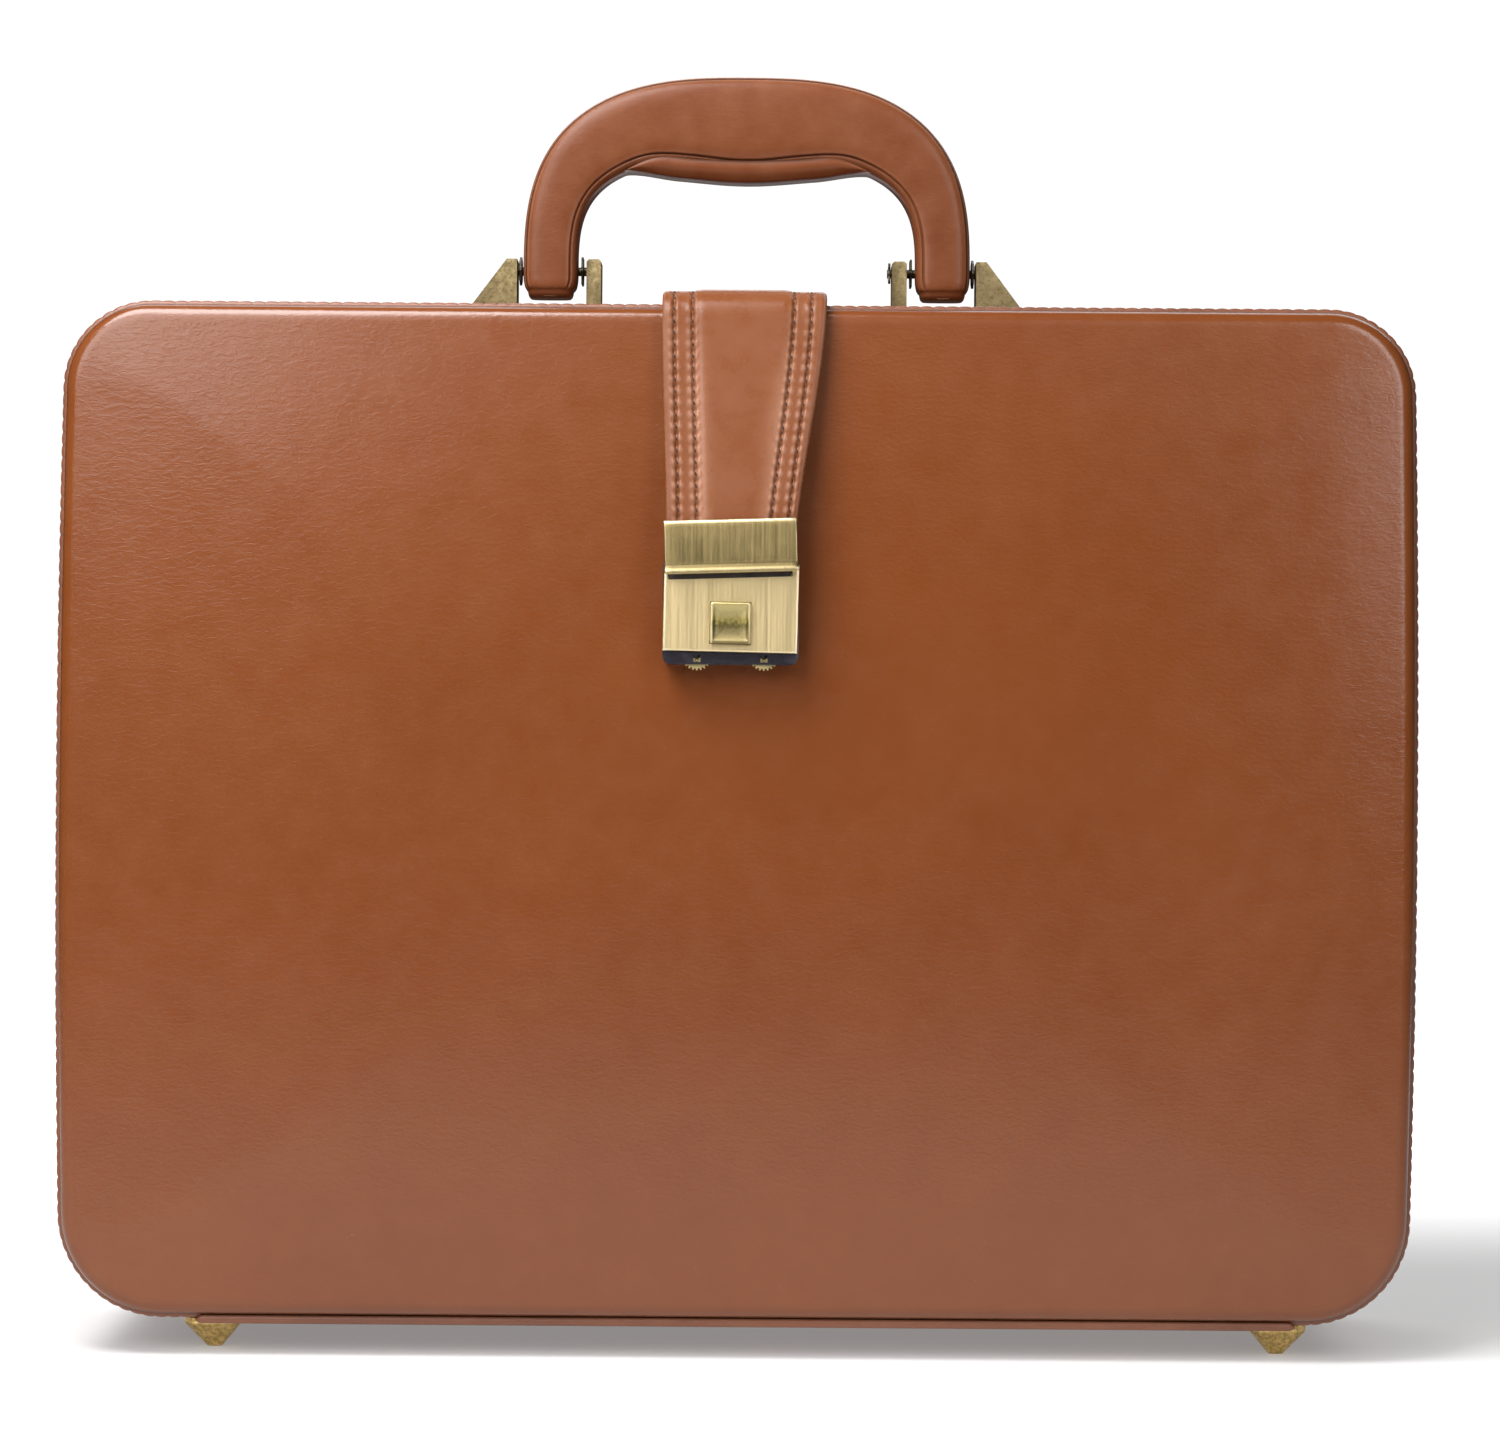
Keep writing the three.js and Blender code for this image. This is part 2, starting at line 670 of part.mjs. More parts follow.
const coverSections = handleSections(0);
const hollowSections = handleSections(HANDLE_LEATHER);
const coreSections = handleSections(HANDLE_LEATHER + GAP);
const lowered = (loops, drop) => {
  const ends = [loops[0], loops[loops.length - 1]];
  const [first, last] = ends.map((loop) => loop.map((p) => p.clone().setZ(p.z - drop)));
  return [first, ...loops, last];
};
add(
  "handle_cover",
  cut(loft(coverSections), [loft(lowered(hollowSections, 2)), ...pinBores(PIN_RADIUS + GAP)]),
  leather(),
);
add("handle_core", cut(loft(coreSections), pinBores(PIN_RADIUS + GAP)), wood());

/** The soft roll under the grip: a crescent that follows the grip's lower edge. */
function gripRoll() {
  const halfLength = 39;
  const steps = 12;
  const loops = [];
  for (let k = 0; k <= steps; k += 1) {
    const x = halfLength * ((2 * k) / steps - 1);
    const along = Math.abs(x) / HANDLE_INNER.halfWidth;
    const rise = HANDLE_INNER.height * (1 - along ** HANDLE_INNER.power) ** (1 / HANDLE_INNER.power);
    const top = PIN_Z + rise - GAP - 0.2;
    const thickness = 1.2 + 6.9 * Math.cos((Math.PI / 2) * (x / halfLength)) ** 0.8;
    const loop = Array.from({ length: 10 }, (_, n) => {
      const turn = Math.PI * (n / 9);
      const deep = 7.6 * Math.cos(turn);
      const drop = thickness * Math.sin(turn);
      return new THREE.Vector3(HANDLE_X + x, PIN_Y + deep, top - drop);
    });
    loops.push(loop);
  }
  return loft(loops);
}
add("grip_roll", gripRoll(), leather());

// ---------------------------------------------------------------- strap

const strapHalf = STRAP_TOP_WIDTH / 2;
const bridgeOutline = polygon([
  [STRAP_TOP_X - strapHalf, STRAP_FOLD_Y + GAP],
  [STRAP_TOP_X + strapHalf, STRAP_FOLD_Y + GAP],
  [STRAP_TOP_X + strapHalf, STRAP_TAIL_Y - 6],
  [STRAP_TOP_X + strapHalf - 8, STRAP_TAIL_Y],
  [STRAP_TOP_X - strapHalf + 8, STRAP_TAIL_Y],
  [STRAP_TOP_X - strapHalf, STRAP_TAIL_Y - 6],
]);
const bridge = new THREE.ExtrudeGeometry(bridgeOutline, {
  depth: STRAP_THICKNESS,
  bevelEnabled: false,
});
bridge.translate(0, 0, STRAP_UNDER_Z);
add("strap_bridge", cut(bridge, anchorHoles), leather());

const strapTop = STRAP_UNDER_Z + STRAP_THICKNESS;
const anchorBar = box(
  [STRAP_TOP_X - 22, STRAP_TOP_X + 22],
  [ANCHOR_Y - 4, ANCHOR_Y + 4],
  [strapTop + GAP, strapTop + 1.5],
);
const anchorStuds = anchorStudX.map((x) => {
  return rod("z", [LID_LINING_Z[0], strapTop + 1], [x, ANCHOR_Y], 1.6, 12);
});
add("strap_anchor", join(anchorBar, anchorStuds), brass());

// The flap's outer and inner lines from the fold down to its end, in Y and Z.
const FLAP_OUTER = [
  [STRAP_FOLD_Y, 348.4],
  [-62.5, 347.8],
  [-66.0, 345.5],
  [-68.3, 341.5],
  [-69.2, 336.0],
  [-78.9, 273.0],
  [-78.9, 265.0],
];
const FLAP_INNER = [
  [STRAP_FOLD_Y, 344.6],
  [-61.5, 344.2],
  [-63.6, 342.6],
  [-64.8, 340.0],
  [-65.3, 336.0],
  [-74.9, 273.0],
  [-74.9, 265.0],
];

/** The flap's loop at one height: four corners, narrowing from the top edge to the hasp. */
function flapLoop(k) {
  const [, height] = FLAP_OUTER[k];
  const s = THREE.MathUtils.clamp((CASE_TOP - height) / (CASE_TOP - 273), 0, 1);
  const middle = THREE.MathUtils.lerp(STRAP_TOP_X, STRAP_END_X, s);
  const half = THREE.MathUtils.lerp(STRAP_TOP_WIDTH, STRAP_END_WIDTH, s) / 2;
  const [outer, inner] = [FLAP_OUTER[k], FLAP_INNER[k]];
  return [
    new THREE.Vector3(middle - half, outer[0], outer[1]),
    new THREE.Vector3(middle + half, outer[0], outer[1]),
    new THREE.Vector3(middle + half, inner[0], inner[1]),
    new THREE.Vector3(middle - half, inner[0], inner[1]),
  ];
}
const HASP_STUD_X = [LOCK_X - 12, LOCK_X + 12];
const HASP_STUD_Z = 269;
const haspHoles = HASP_STUD_X.map((x) => rod("y", [-79.2, -72], [x, HASP_STUD_Z], 1.8, 12));
add("strap_flap", cut(loft(FLAP_OUTER.map((_, k) => flapLoop(k))), haspHoles), leather());

const haspHalf = LOCK_WIDTH / 2 - 0.3;
const haspProfile = polygon([
  [-79.2, 272.8],
  [-79.8, 272.8],
  [-80.1, 272.4],
  [-80.1, 257.4],
  [-80.5, 256.8],
  [-80.5, 255.6],
  [-79.9, 255.2],
  [-79.3, 255.6],
  [-79.2, 257.2],
]);
add("hasp_plate", slabYZ(haspProfile, [LOCK_X - haspHalf, LOCK_X + haspHalf]), brass());

// Behind the strap's end: a plate whose foot turns back and down into a hook.
const hookProfile = polygon([
  [-74.6, 272.5],
  [-74.6, 262.0],
  [-73.1, 262.0],
  [-73.1, 259.2],
  [-71.6, 259.2],
  [-71.6, 263.4],
  [-73.4, 263.4],
  [-73.4, 272.5],
]);
const haspStuds = HASP_STUD_X.map((x) => rod("y", [-78.9, -73.6], [x, HASP_STUD_Z], 1.5, 12));
add(
  "hasp_hook",
  join(slabYZ(hookProfile, [LOCK_X - 17, LOCK_X + 17]), haspStuds),
  brass(),
);

// ---------------------------------------------------------------- lock

const lockX = [LOCK_X - LOCK_WIDTH / 2, LOCK_X + LOCK_WIDTH / 2];
const dialX = [LOCK_X - DIAL_OFFSET_X, LOCK_X + DIAL_OFFSET_X];

/** The lock's outline from the front, with its lower corners rounded off. */
function lockOutline() {
  const [left, right] = lockX;
  const [low, high] = LOCK_Z;
  return polygon([
    [left, low + 2.4],
    [left + 0.7, low + 0.7],
    [left + 2.4, low],
    [right - 2.4, low],
    [right - 0.7, low + 0.7],
    [right, low + 2.4],
    [right, high],
    [left, high],
  ]);
}

const NOSE_HALF_WIDTH = 6;
const lockCavity = box([lockX[0] + 1.5, lockX[1] - 1.5], [-76, -66.3], [234.9, 256.8]);
const lowerCavity = box([LOCK_X - 7.1, LOCK_X + 7.1], [-76, -66.3], [232.2, 235.1]);
const noseSlot = box(
  [LOCK_X - NOSE_HALF_WIDTH - GAP, LOCK_X + NOSE_HALF_WIDTH + GAP],
  [-76, -73.1],
  [256, 260],
);
const dialSlots = dialX.map((x) =>
  box([x - 5.5, x + 5.5], [DIAL_Y[0] - GAP, DIAL_Y[1] + GAP], [222, 235.1]),
);
const digitWindows = dialX.map((x) => box([x - 1.15, x + 1.15], [-76, -73.5], [226.9, 229.2]));
const DIAL_POST_RADIUS = 1.2;
const dialPosts = dialX.map((x) => rod("y", [-74.4, -70.5], [x, DIAL_Z], DIAL_POST_RADIUS, 12));
const lockBody = cut(slabXZ(lockOutline(), LOCK_Y), [
  lockCavity,
  lowerCavity,
  noseSlot,
  ...dialSlots,
  ...studHoles(1.5 + GAP),
]);
add("lock_case", cut(join(lockBody, dialPosts), digitWindows), gunmetal());

const facePlate = box([lockX[0] + 0.1, lockX[1] - 0.1], FACE_PLATE_Y, FACE_PLATE_Z);
const [buttonWidth, buttonHeight] = BUTTON_SIZE;
const buttonWindow = box(
  [LOCK_X - buttonWidth / 2 - GAP, LOCK_X + buttonWidth / 2 + GAP],
  [-80, -70],
  [BUTTON_Z - buttonHeight / 2 - GAP, BUTTON_Z + buttonHeight / 2 + GAP],
);
add("lock_face_plate", cut(facePlate, [buttonWindow]), brass());

const backing = box([LOCK_X - 20, LOCK_X + 20], [-54.7, -53.5], [230, 257]);
const backingStuds = STUD_X.map((x) => rod("y", [-65.9, -54], [x, STUD_Z], 1.5, 12));
add("lock_backing", join(backing, backingStuds), steel());

/** A toothed wheel with a bore, turning on a post of the lock case. */
function dial(x) {
  const rim = [];
  const perTooth = 4;
  for (let k = 0; k < DIAL_TEETH * perTooth; k += 1) {
    const angle = (2 * Math.PI * k) / (DIAL_TEETH * perTooth);
    const radius = k % perTooth < 2 ? DIAL_RADIUS : DIAL_RADIUS - 0.45;
    rim.push([x + radius * Math.cos(angle), DIAL_Z + radius * Math.sin(angle)]);
  }
  return cut(slabXZ(polygon(rim), DIAL_Y), [
    rod("y", [-76, -70], [x, DIAL_Z], DIAL_POST_RADIUS + GAP, 12),
  ]);
}
add("dial_left", dial(dialX[0]), brass());
add("dial_right", dial(dialX[1]), brass());

/** The thumb button: a dished cap, a flange behind the face plate and a square stem. */
function button() {
  const [half, tall] = [buttonWidth / 2, buttonHeight / 2];
  const dish = [];
  const dishSteps = 8;
  for (let k = 0; k <= dishSteps; k += 1) {
    const s = (2 * k) / dishSteps - 1;
    dish.push([-79.0 + 0.9 * (1 - s * s), BUTTON_Z + tall * s]);
  }
  const cap = polygon([[-74.0, BUTTON_Z - tall], ...dish, [-74.0, BUTTON_Z + tall]]);
  const flange = box([LOCK_X - 8.2, LOCK_X + 8.2], [-75.0, -73.8], [235.2, BUTTON_Z + 8.0]);
  const stem = box([LOCK_X - 2.4, LOCK_X + 2.4], [-74.2, -70.2], [237.0, 242.0]);
  return join(slabYZ(cap, [LOCK_X - half, LOCK_X + half]), [flange, stem]);
}
add("thumb_button", button(), brass());

// The latch: a plate behind the button with a window for its stem, a shelf forward and a
// nose that stands up in front of the hasp's hook.
const latchProfile = polygon([
  [-74.9, 261.2],
  [-74.9, 251.5],
  [-69.4, 251.5],
  [-69.4, 236.0],
  [-67.9, 236.0],
  [-67.9, 253.0],
  [-73.4, 253.0],
  [-73.4, 260.4],
]);
const latchX = [LOCK_X - NOSE_HALF_WIDTH, LOCK_X + NOSE_HALF_WIDTH];
const latchWindow = box([LOCK_X - 2.9, LOCK_X + 2.9], [-72, -66], [236.6 + 0.2, 245]);
add("latch", cut(slabYZ(latchProfile, latchX), [latchWindow]), steel());

/** A coil spring under the latch, standing on the floor of the lock case. */
function latchSpring() {
  const [low, high] = [232.9, 235.3];
  const turns = 3;
  class Helix extends THREE.Curve {
    getPoint(t) {
      const angle = 2 * Math.PI * turns * t;
      const radius = 1.0;
      return new THREE.Vector3(
        LOCK_X + radius * Math.cos(angle),
        -68.65 + radius * Math.sin(angle),
        low + (high - low) * t,
      );
    }
  }
  const wire = new THREE.Shape();
  wire.absarc(0, 0, 0.3, 0, 2 * Math.PI);
  return new THREE.ExtrudeGeometry(wire, {
    steps: 36,
    curveSegments: 3,
    extrudePath: new Helix(),
  });
}
add("latch_spring", latchSpring(), steel());

export default bag;
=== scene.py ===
"""The looks of a hard-sided leather flight bag: padded panels in piping, two lids, a padded handle on
cast brackets, and a stitched strap that locks down over the front.

Shapes are worked out in millimetres in the case's own measure, where x runs to the right, y to the
rear from the case's middle plane, and z up from the floor. `to_frame` brings them into the frame.
"""

import math

import bmesh
import bpy
import numpy as np
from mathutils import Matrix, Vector


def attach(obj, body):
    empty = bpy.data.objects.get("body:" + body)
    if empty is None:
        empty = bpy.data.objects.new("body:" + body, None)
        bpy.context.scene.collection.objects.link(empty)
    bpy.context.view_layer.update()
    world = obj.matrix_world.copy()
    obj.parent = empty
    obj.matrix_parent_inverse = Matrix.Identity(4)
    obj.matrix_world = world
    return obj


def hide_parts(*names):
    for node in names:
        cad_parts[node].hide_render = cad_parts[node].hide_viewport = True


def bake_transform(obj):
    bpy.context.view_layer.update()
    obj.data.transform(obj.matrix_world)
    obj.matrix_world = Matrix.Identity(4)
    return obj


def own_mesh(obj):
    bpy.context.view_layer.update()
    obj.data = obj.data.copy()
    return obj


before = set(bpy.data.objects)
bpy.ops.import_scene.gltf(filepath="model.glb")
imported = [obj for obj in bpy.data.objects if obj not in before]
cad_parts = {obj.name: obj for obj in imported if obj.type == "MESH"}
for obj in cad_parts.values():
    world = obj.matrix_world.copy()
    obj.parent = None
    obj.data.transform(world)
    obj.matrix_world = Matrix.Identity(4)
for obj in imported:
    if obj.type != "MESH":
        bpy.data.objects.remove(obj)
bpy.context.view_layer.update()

# ---------------------------------------------------------------- sizes of the bag, in millimetres

MIDDLE_Y = 8.0  # the case's middle plane in the frame

CASE_WIDTH = 445.0
CASE_TOP = 344.0
CASE_BOTTOM = 12.0
SIDE_BOW = 1.5
TOP_CORNER = 29.0
BOTTOM_CORNER = 34.5
PANEL_RIM_Y = 57.0
PANEL_FACE_Y = 64.5
BAND_END_X = 189.0
BAND_SEAM_Y = 51.0
STRAP_X = 1.4
BUTTON_WIDTH, BUTTON_HEIGHT = 13.3, 13.6
DIAL_FACE_Y = -73.6
STITCH_PITCH = 4.2

HANDLE_X = 1.8
PIN_Y = 2.0
PIN_Z = 361.0
HANDLE_OUTER = (76.0, 66.3, 2.75)
HANDLE_INNER = (57.4, 38.2, 3.17)
HANDLE_DEPTH = 17.0

STRAP_PITCH = 3.9
LOCK_X = -2.4
BUTTON_Z = 239.5
DIAL_OFFSET_X = 10.8
DIAL_Z = 229.4

ALONG_X, ALONG_Y = (1.0, 0.0, 0.0), (0.0, 1.0, 0.0)

# ---------------------------------------------------------------- meshes


def to_frame(points):
    """Points in the case's millimetres, moved to the frame and turned into metres."""
    return (np.asarray(points, float) + (0.0, MIDDLE_Y, 0.0)) * 0.001


def full_turn(count):
    """That many angles, evenly round a circle."""
    return np.arange(count) / count * 2 * np.pi


def unit(vectors):
    """The vectors brought to length 1."""
    return vectors / np.linalg.norm(vectors, axis=-1, keepdims=True)


def way_along(line):
    """The distance travelled along a line at each of its points."""
    return np.concatenate([[0], np.cumsum(np.linalg.norm(np.diff(line, axis=0), axis=1))])


def rounded(t, power):
    """A step with a rounded shoulder, from 0 at t = 0 to 1 at t = 1: (1 - (1 - t)^p)^(1/p)."""
    return (1 - (1 - np.clip(t, 0, 1)) ** power) ** (1 / power)


def upright(xz, y):
    """Points given in x and z, stood at a depth y."""
    return np.stack([xz[..., 0], np.broadcast_to(y, xz.shape[:-1]), xz[..., 1]], -1)


def along_x(x, loops):
    """Loops given in y and z, one at each x."""
    return np.concatenate([np.broadcast_to(x[:, None, None], loops.shape[:2] + (1,)), loops], -1)


def mesh_piece(name, points, faces, marks=None, crease_angle=None):
    """An object from points in metres and quads, with doubles merged and faces turned outwards."""
    mesh = bpy.data.meshes.new(name)
    mesh.vertices.add(len(points))
    mesh.vertices.foreach_set("co", np.asarray(points, np.float32).ravel())
    count = len(faces)
    mesh.loops.add(count * 4)
    mesh.loops.foreach_set("vertex_index", np.asarray(faces, np.int32).ravel())
    mesh.polygons.add(count)
    mesh.polygons.foreach_set("loop_start", np.arange(count, dtype=np.int32) * 4)
    mesh.update(calc_edges=True)
    for mark, values in (marks or {}).items():
        layer = mesh.attributes.new(mark, "FLOAT", "POINT")
        layer.data.foreach_set("value", np.asarray(values, np.float32).ravel())
    work = bmesh.new()
    work.from_mesh(mesh)
    bmesh.ops.remove_doubles(work, verts=work.verts, dist=2e-7)
    bmesh.ops.dissolve_degenerate(work, edges=work.edges, dist=1e-8)
    bmesh.ops.recalc_face_normals(work, faces=work.faces)
    work.to_mesh(mesh)
    work.free()
    mesh.shade_smooth()
    if crease_angle is not None:
        mesh.set_sharp_from_angle(angle=math.radians(crease_angle))
    piece = bpy.data.objects.new(name, mesh)
    bpy.context.scene.collection.objects.link(piece)
    return piece


def quads(rows, columns, rows_meet, columns_meet):
    """The four corners of each cell of a grid; a direction that meets itself wraps round."""
    i = np.arange(rows if rows_meet else rows - 1)
    j = np.arange(columns if columns_meet else columns - 1)
    i, j = np.meshgrid(i, j, indexing="ij")
    up, over = (i + 1) % rows, (j + 1) % columns
    corners = [i * columns + j, up * columns + j, up * columns + over, i * columns + over]
    return np.stack(corners, -1).reshape(-1, 4)


def capped(points, marks):
    """The grid with one more row at each end, gathered into that end's middle point."""
    first = np.broadcast_to(points[0].mean(0), points[0].shape)
    last = np.broadcast_to(points[-1].mean(0), points[-1].shape)
    points = np.concatenate([first[None], points, last[None]])
    marks = {k: np.concatenate([v[:1], v, v[-1:]]) for k, v in (marks or {}).items()}
    return points, marks


def skin(name, points, rows_meet=False, marks=None, crease_angle=None):
    """A closed piece over points[i, j]: each row i is a closed loop; the rows meet or are capped."""
    if not rows_meet:
        points, marks = capped(points, marks)
    faces = quads(points.shape[0], points.shape[1], rows_meet, True)
    return mesh_piece(name, to_frame(points.reshape(-1, 3)), faces, marks, crease_angle)


def finish_piece(piece, body, material, replaced=()):
    """Puts a piece on its body, names its finish and hides the CAD solids that it stands for."""
    piece.data.materials.append(material)
    if body:
        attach(piece, body)
    if replaced:
        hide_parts(*replaced)
    return piece


def softened(node, body, material, width, name=None, segments=2):
    """The CAD solid of a node with its loose corners merged and its edges rounded by width."""
    work = bmesh.new()
    work.from_mesh(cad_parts[node].data)
    bmesh.ops.remove_doubles(work, verts=work.verts, dist=2e-6)
    flat = math.radians(0.5)
    bmesh.ops.dissolve_limit(work, angle_limit=flat, verts=work.verts, edges=work.edges)
    mesh = bpy.data.meshes.new(name or node + "_finished")
    work.to_mesh(mesh)
    work.free()
    mesh.materials.clear()
    mesh.shade_smooth()
    piece = bpy.data.objects.new(name or node + "_finished", mesh)
    bpy.context.scene.collection.objects.link(piece)
    bevel = piece.modifiers.new("edges", "BEVEL")
    bevel.width = width * 0.001
    bevel.segments = segments
    bevel.limit_method = "ANGLE"
    bevel.angle_limit = math.radians(28)
    bevel.harden_normals = True
    return finish_piece(piece, body, material, (node,))


# ---------------------------------------------------------------- finishes


class Signal:
    """A node's output in one material; arithmetic on it adds Math nodes."""

    def __init__(self, tree, socket):
        self.tree, self.socket = tree, socket

    def math(self, operation, *values):
        node = self.tree.nodes.new("ShaderNodeMath")
        node.operation = operation
        for value, slot in zip(values, node.inputs):
            plug(self.tree, value, slot)
        return Signal(self.tree, node.outputs[0])

    def __add__(self, other):
        return self.math("ADD", self, other)

    def __radd__(self, other):
        return self.math("ADD", other, self)

    def __sub__(self, other):
        return self.math("SUBTRACT", self, other)

    def __rsub__(self, other):
        return self.math("SUBTRACT", other, self)

    def __mul__(self, other):
        return self.math("MULTIPLY", self, other)

    def __rmul__(self, other):
        return self.math("MULTIPLY", other, self)

    def clamped(self):
        """The value held between 0 and 1."""
        return self.math("MINIMUM", self.math("MAXIMUM", self, 0.0), 1.0)


def plug(tree, value, slot):
    """Joins a signal to a socket, or sets the socket's own value."""
    if isinstance(value, Signal):
        tree.links.new(value.socket, slot)
    elif isinstance(value, tuple) and len(value) == 3 and len(getattr(slot, "default_value", ())) == 4:
        slot.default_value = (*value, 1.0)
    else:
        slot.default_value = value


class Finish:
    """A material under construction: its node tree, its place on the piece and its shader."""

    def __init__(self, name):
        self.material = bpy.data.materials.new(name)
        self.material.use_nodes = True
        self.tree = self.material.node_tree
        self.shader = self.tree.nodes["Principled BSDF"]
        self.place = self.node("ShaderNodeTexCoord", output="Object")

    def node(self, kind, settings=None, values=None, output=0):
        """A node of that kind: settings first, then its sockets' values or links."""
        node = self.tree.nodes.new(kind)
        for key, setting in (settings or {}).items():
            if key == "stops":
                while len(node.color_ramp.elements) < len(setting):
                    node.color_ramp.elements.new(0.5)
                for element, (position, colour) in zip(node.color_ramp.elements, setting):
                    element.position = position
                    element.color = (*colour, 1.0)
            else:
                setattr(node, key, setting)
        for key, value in (values or {}).items():
            plug(self.tree, value, node.inputs[key])
        return Signal(self.tree, node.outputs[output])

    def set(self, **values):
        """Sets the shader's sockets, whose names are written with _ for a space."""
        for key, value in values.items():
            plug(self.tree, value, self.shader.inputs[key.replace("_", " ")])
        return self

    def noise(self, scale, detail=3.0, roughness=0.5, place=None, distortion=0.0):
        """Cloudy noise from 0 to 1, scale lumps to the metre."""
        values = {"Vector": place or self.place, "Scale": scale, "Detail": detail}
        values.update({"Roughness": roughness, "Distortion": distortion})
        return self.node("ShaderNodeTexNoise", None, values)

    def cells(self, scale):
        """Distance to the nearest of scattered points, scale cells to the metre."""
        return self.node("ShaderNodeTexVoronoi", None, {"Vector": self.place, "Scale": scale})

    def stretched(self, x, y, z):
        """The place on the piece, with each direction multiplied."""
        return self.node("ShaderNodeMapping", None, {"Vector": self.place, "Scale": (x, y, z)})

    def mark(self, name):
        """The value that the piece carries under that name."""
        return self.node("ShaderNodeAttribute", {"attribute_name": name}, output="Fac")

    def mix(self, factor, a, b):
        """Colour a where factor is 0, colour b where it is 1."""
        node = self.tree.nodes.new("ShaderNodeMix")
        node.data_type = "RGBA"
        for value, slot in ((factor, 0), (a, 6), (b, 7)):
            plug(self.tree, value, node.inputs[slot])
        return Signal(self.tree, node.outputs[2])

    def ramp(self, value, *stops):
        """A colour read from stops of (position, colour)."""
        return self.node("ShaderNodeValToRGB", {"stops": stops}, {"Fac": value})

    def spread(self, value, low, high):
        """value from low..high brought smoothly to 0..1, and held there beyond."""
        values = {"Value": value, "From Min": low, "From Max": high}
        return self.node("ShaderNodeMapRange", {"interpolation_type": "SMOOTHSTEP"}, values)

    def relief(self, height, depth, below=None):
        """A bump of that depth in metres, over another one if given."""
        values = {"Height": height, "Distance": depth, "Strength": 1.0}
        if below is not None:
            values["Normal"] = below
        return self.node("ShaderNodeBump", None, values)


def leather(name, colour, deep, pale, roughness, grain=1.0, specular=0.5):
    """Smooth finished leather: fine pebble grain with pores and faint clouding, with painted shade
    (near black) in creases, grooves and seams, and painted highlights, with a little wear, in the pale colour on
    edges and puckers."""
    f = Finish(name)
    clouds = f.noise(11.0, 4.0, 0.55)
    mottle = f.noise(95.0, 3.0, 0.6)
    pores = f.spread(f.cells(760.0), 0.05, 0.34)
    pebbles = f.noise(1150.0, 2.0, 0.55)
    wrinkles = f.spread(f.noise(310.0, 3.0, 0.6, f.stretched(1.0, 1.0, 2.2), 0.8), 0.35, 0.7)
    crease, rub = f.mark("crease"), f.mark("rub")
    tone = f.mix(f.spread(clouds, 0.3, 0.75), deep, colour)
    tone = f.mix((mottle * 0.22).clamped(), tone, pale)
    tone = f.mix(((1.0 - pores) * 0.12).clamped(), tone, deep)
    # Painted highlight, with a little wear: paler where the piece marks it.
    tone = f.mix((rub * (0.55 + 0.5 * mottle)).clamped(), tone, pale)
    # Painted shade: near black where the piece marks it.
    painted_shade_colour = tuple(0.22 * c for c in deep)
    tone = f.mix((crease * 0.92).clamped(), tone, painted_shade_colour)
    gloss = roughness + 0.10 * (mottle - 0.5) + 0.05 * (1.0 - pores) + 0.22 * crease - 0.06 * rub
    bump = f.relief(pores * 0.55 + pebbles * 0.45, 0.000012 * grain)
    bump = f.relief(wrinkles, 0.000020 * grain, bump)
    bump = f.relief(clouds, 0.00025, bump)
    f.set(Base_Color=tone, Roughness=gloss.clamped(), Specular_IOR_Level=specular, Normal=bump)
    return f.material


def brushed_brass(name, light, dark, roughness, streaks, age):
    """Brass brushed up and down, browned by age in patches, brightened on its edges by painted highlights with a
    little wear, and darkened by painted shade where the piece marks it.
    """
    f = Finish(name)
    lines = f.spread(f.noise(1.0, 4.0, 0.7, f.stretched(1700.0, 900.0, 22.0)), 0.2, 0.8)
    wide = f.noise(1.0, 2.0, 0.5, f.stretched(420.0, 300.0, 9.0))
    patch = f.spread(f.noise(130.0, 4.0, 0.65), 0.42, 0.72)
    rub, crease = f.mark("rub"), f.mark("crease")
    tone = f.mix((lines * 0.42 * streaks + wide * 0.22 + 0.25).clamped(), dark, light)
    tone = f.mix((patch * age).clamped(), tone, dark)
    # Painted highlight, with a little wear: pale gold where the piece marks it.
    tone = f.mix(rub.clamped(), tone, (0.92, 0.80, 0.52))
    # Painted shade: near black where the piece marks it.
    tone = f.mix((crease * 0.9).clamped(), tone, (0.035, 0.026, 0.012))
    gloss = roughness + 0.12 * (lines - 0.5) + 0.25 * age * patch - 0.08 * rub
    f.set(Base_Color=tone, Metallic=1.0, Roughness=gloss.clamped())
    f.set(Normal=f.relief(lines, 0.00002 * streaks))
    return f.material


def cast_brass(name, light, dark, roughness, lumps, depth):
    """Cast brass with a dull brown skin that has rubbed through on its high spots."""
    f = Finish(name)
    skin_noise = f.noise(lumps, 4.0, 0.6)
    fine = f.noise(2400.0, 3.0, 0.6)
    pits = f.spread(f.cells(lumps * 1.6), 0.08, 0.4)
    worn = f.spread(skin_noise * 0.7 + fine * 0.3, 0.36, 0.66)
    tone = f.mix(worn, dark, light)
    tone = f.mix(((1.0 - pits) * 0.5).clamped(), tone, tuple(0.3 * c for c in dark))
    gloss = roughness + 0.22 * (1.0 - worn) + 0.08 * (fine - 0.5)
    bump = f.relief(skin_noise * 0.6 + pits * 0.4, depth)
    bump = f.relief(fine, 0.00002, bump)
    f.set(Base_Color=tone, Metallic=0.92, Roughness=gloss.clamped(), Normal=bump)
    return f.material


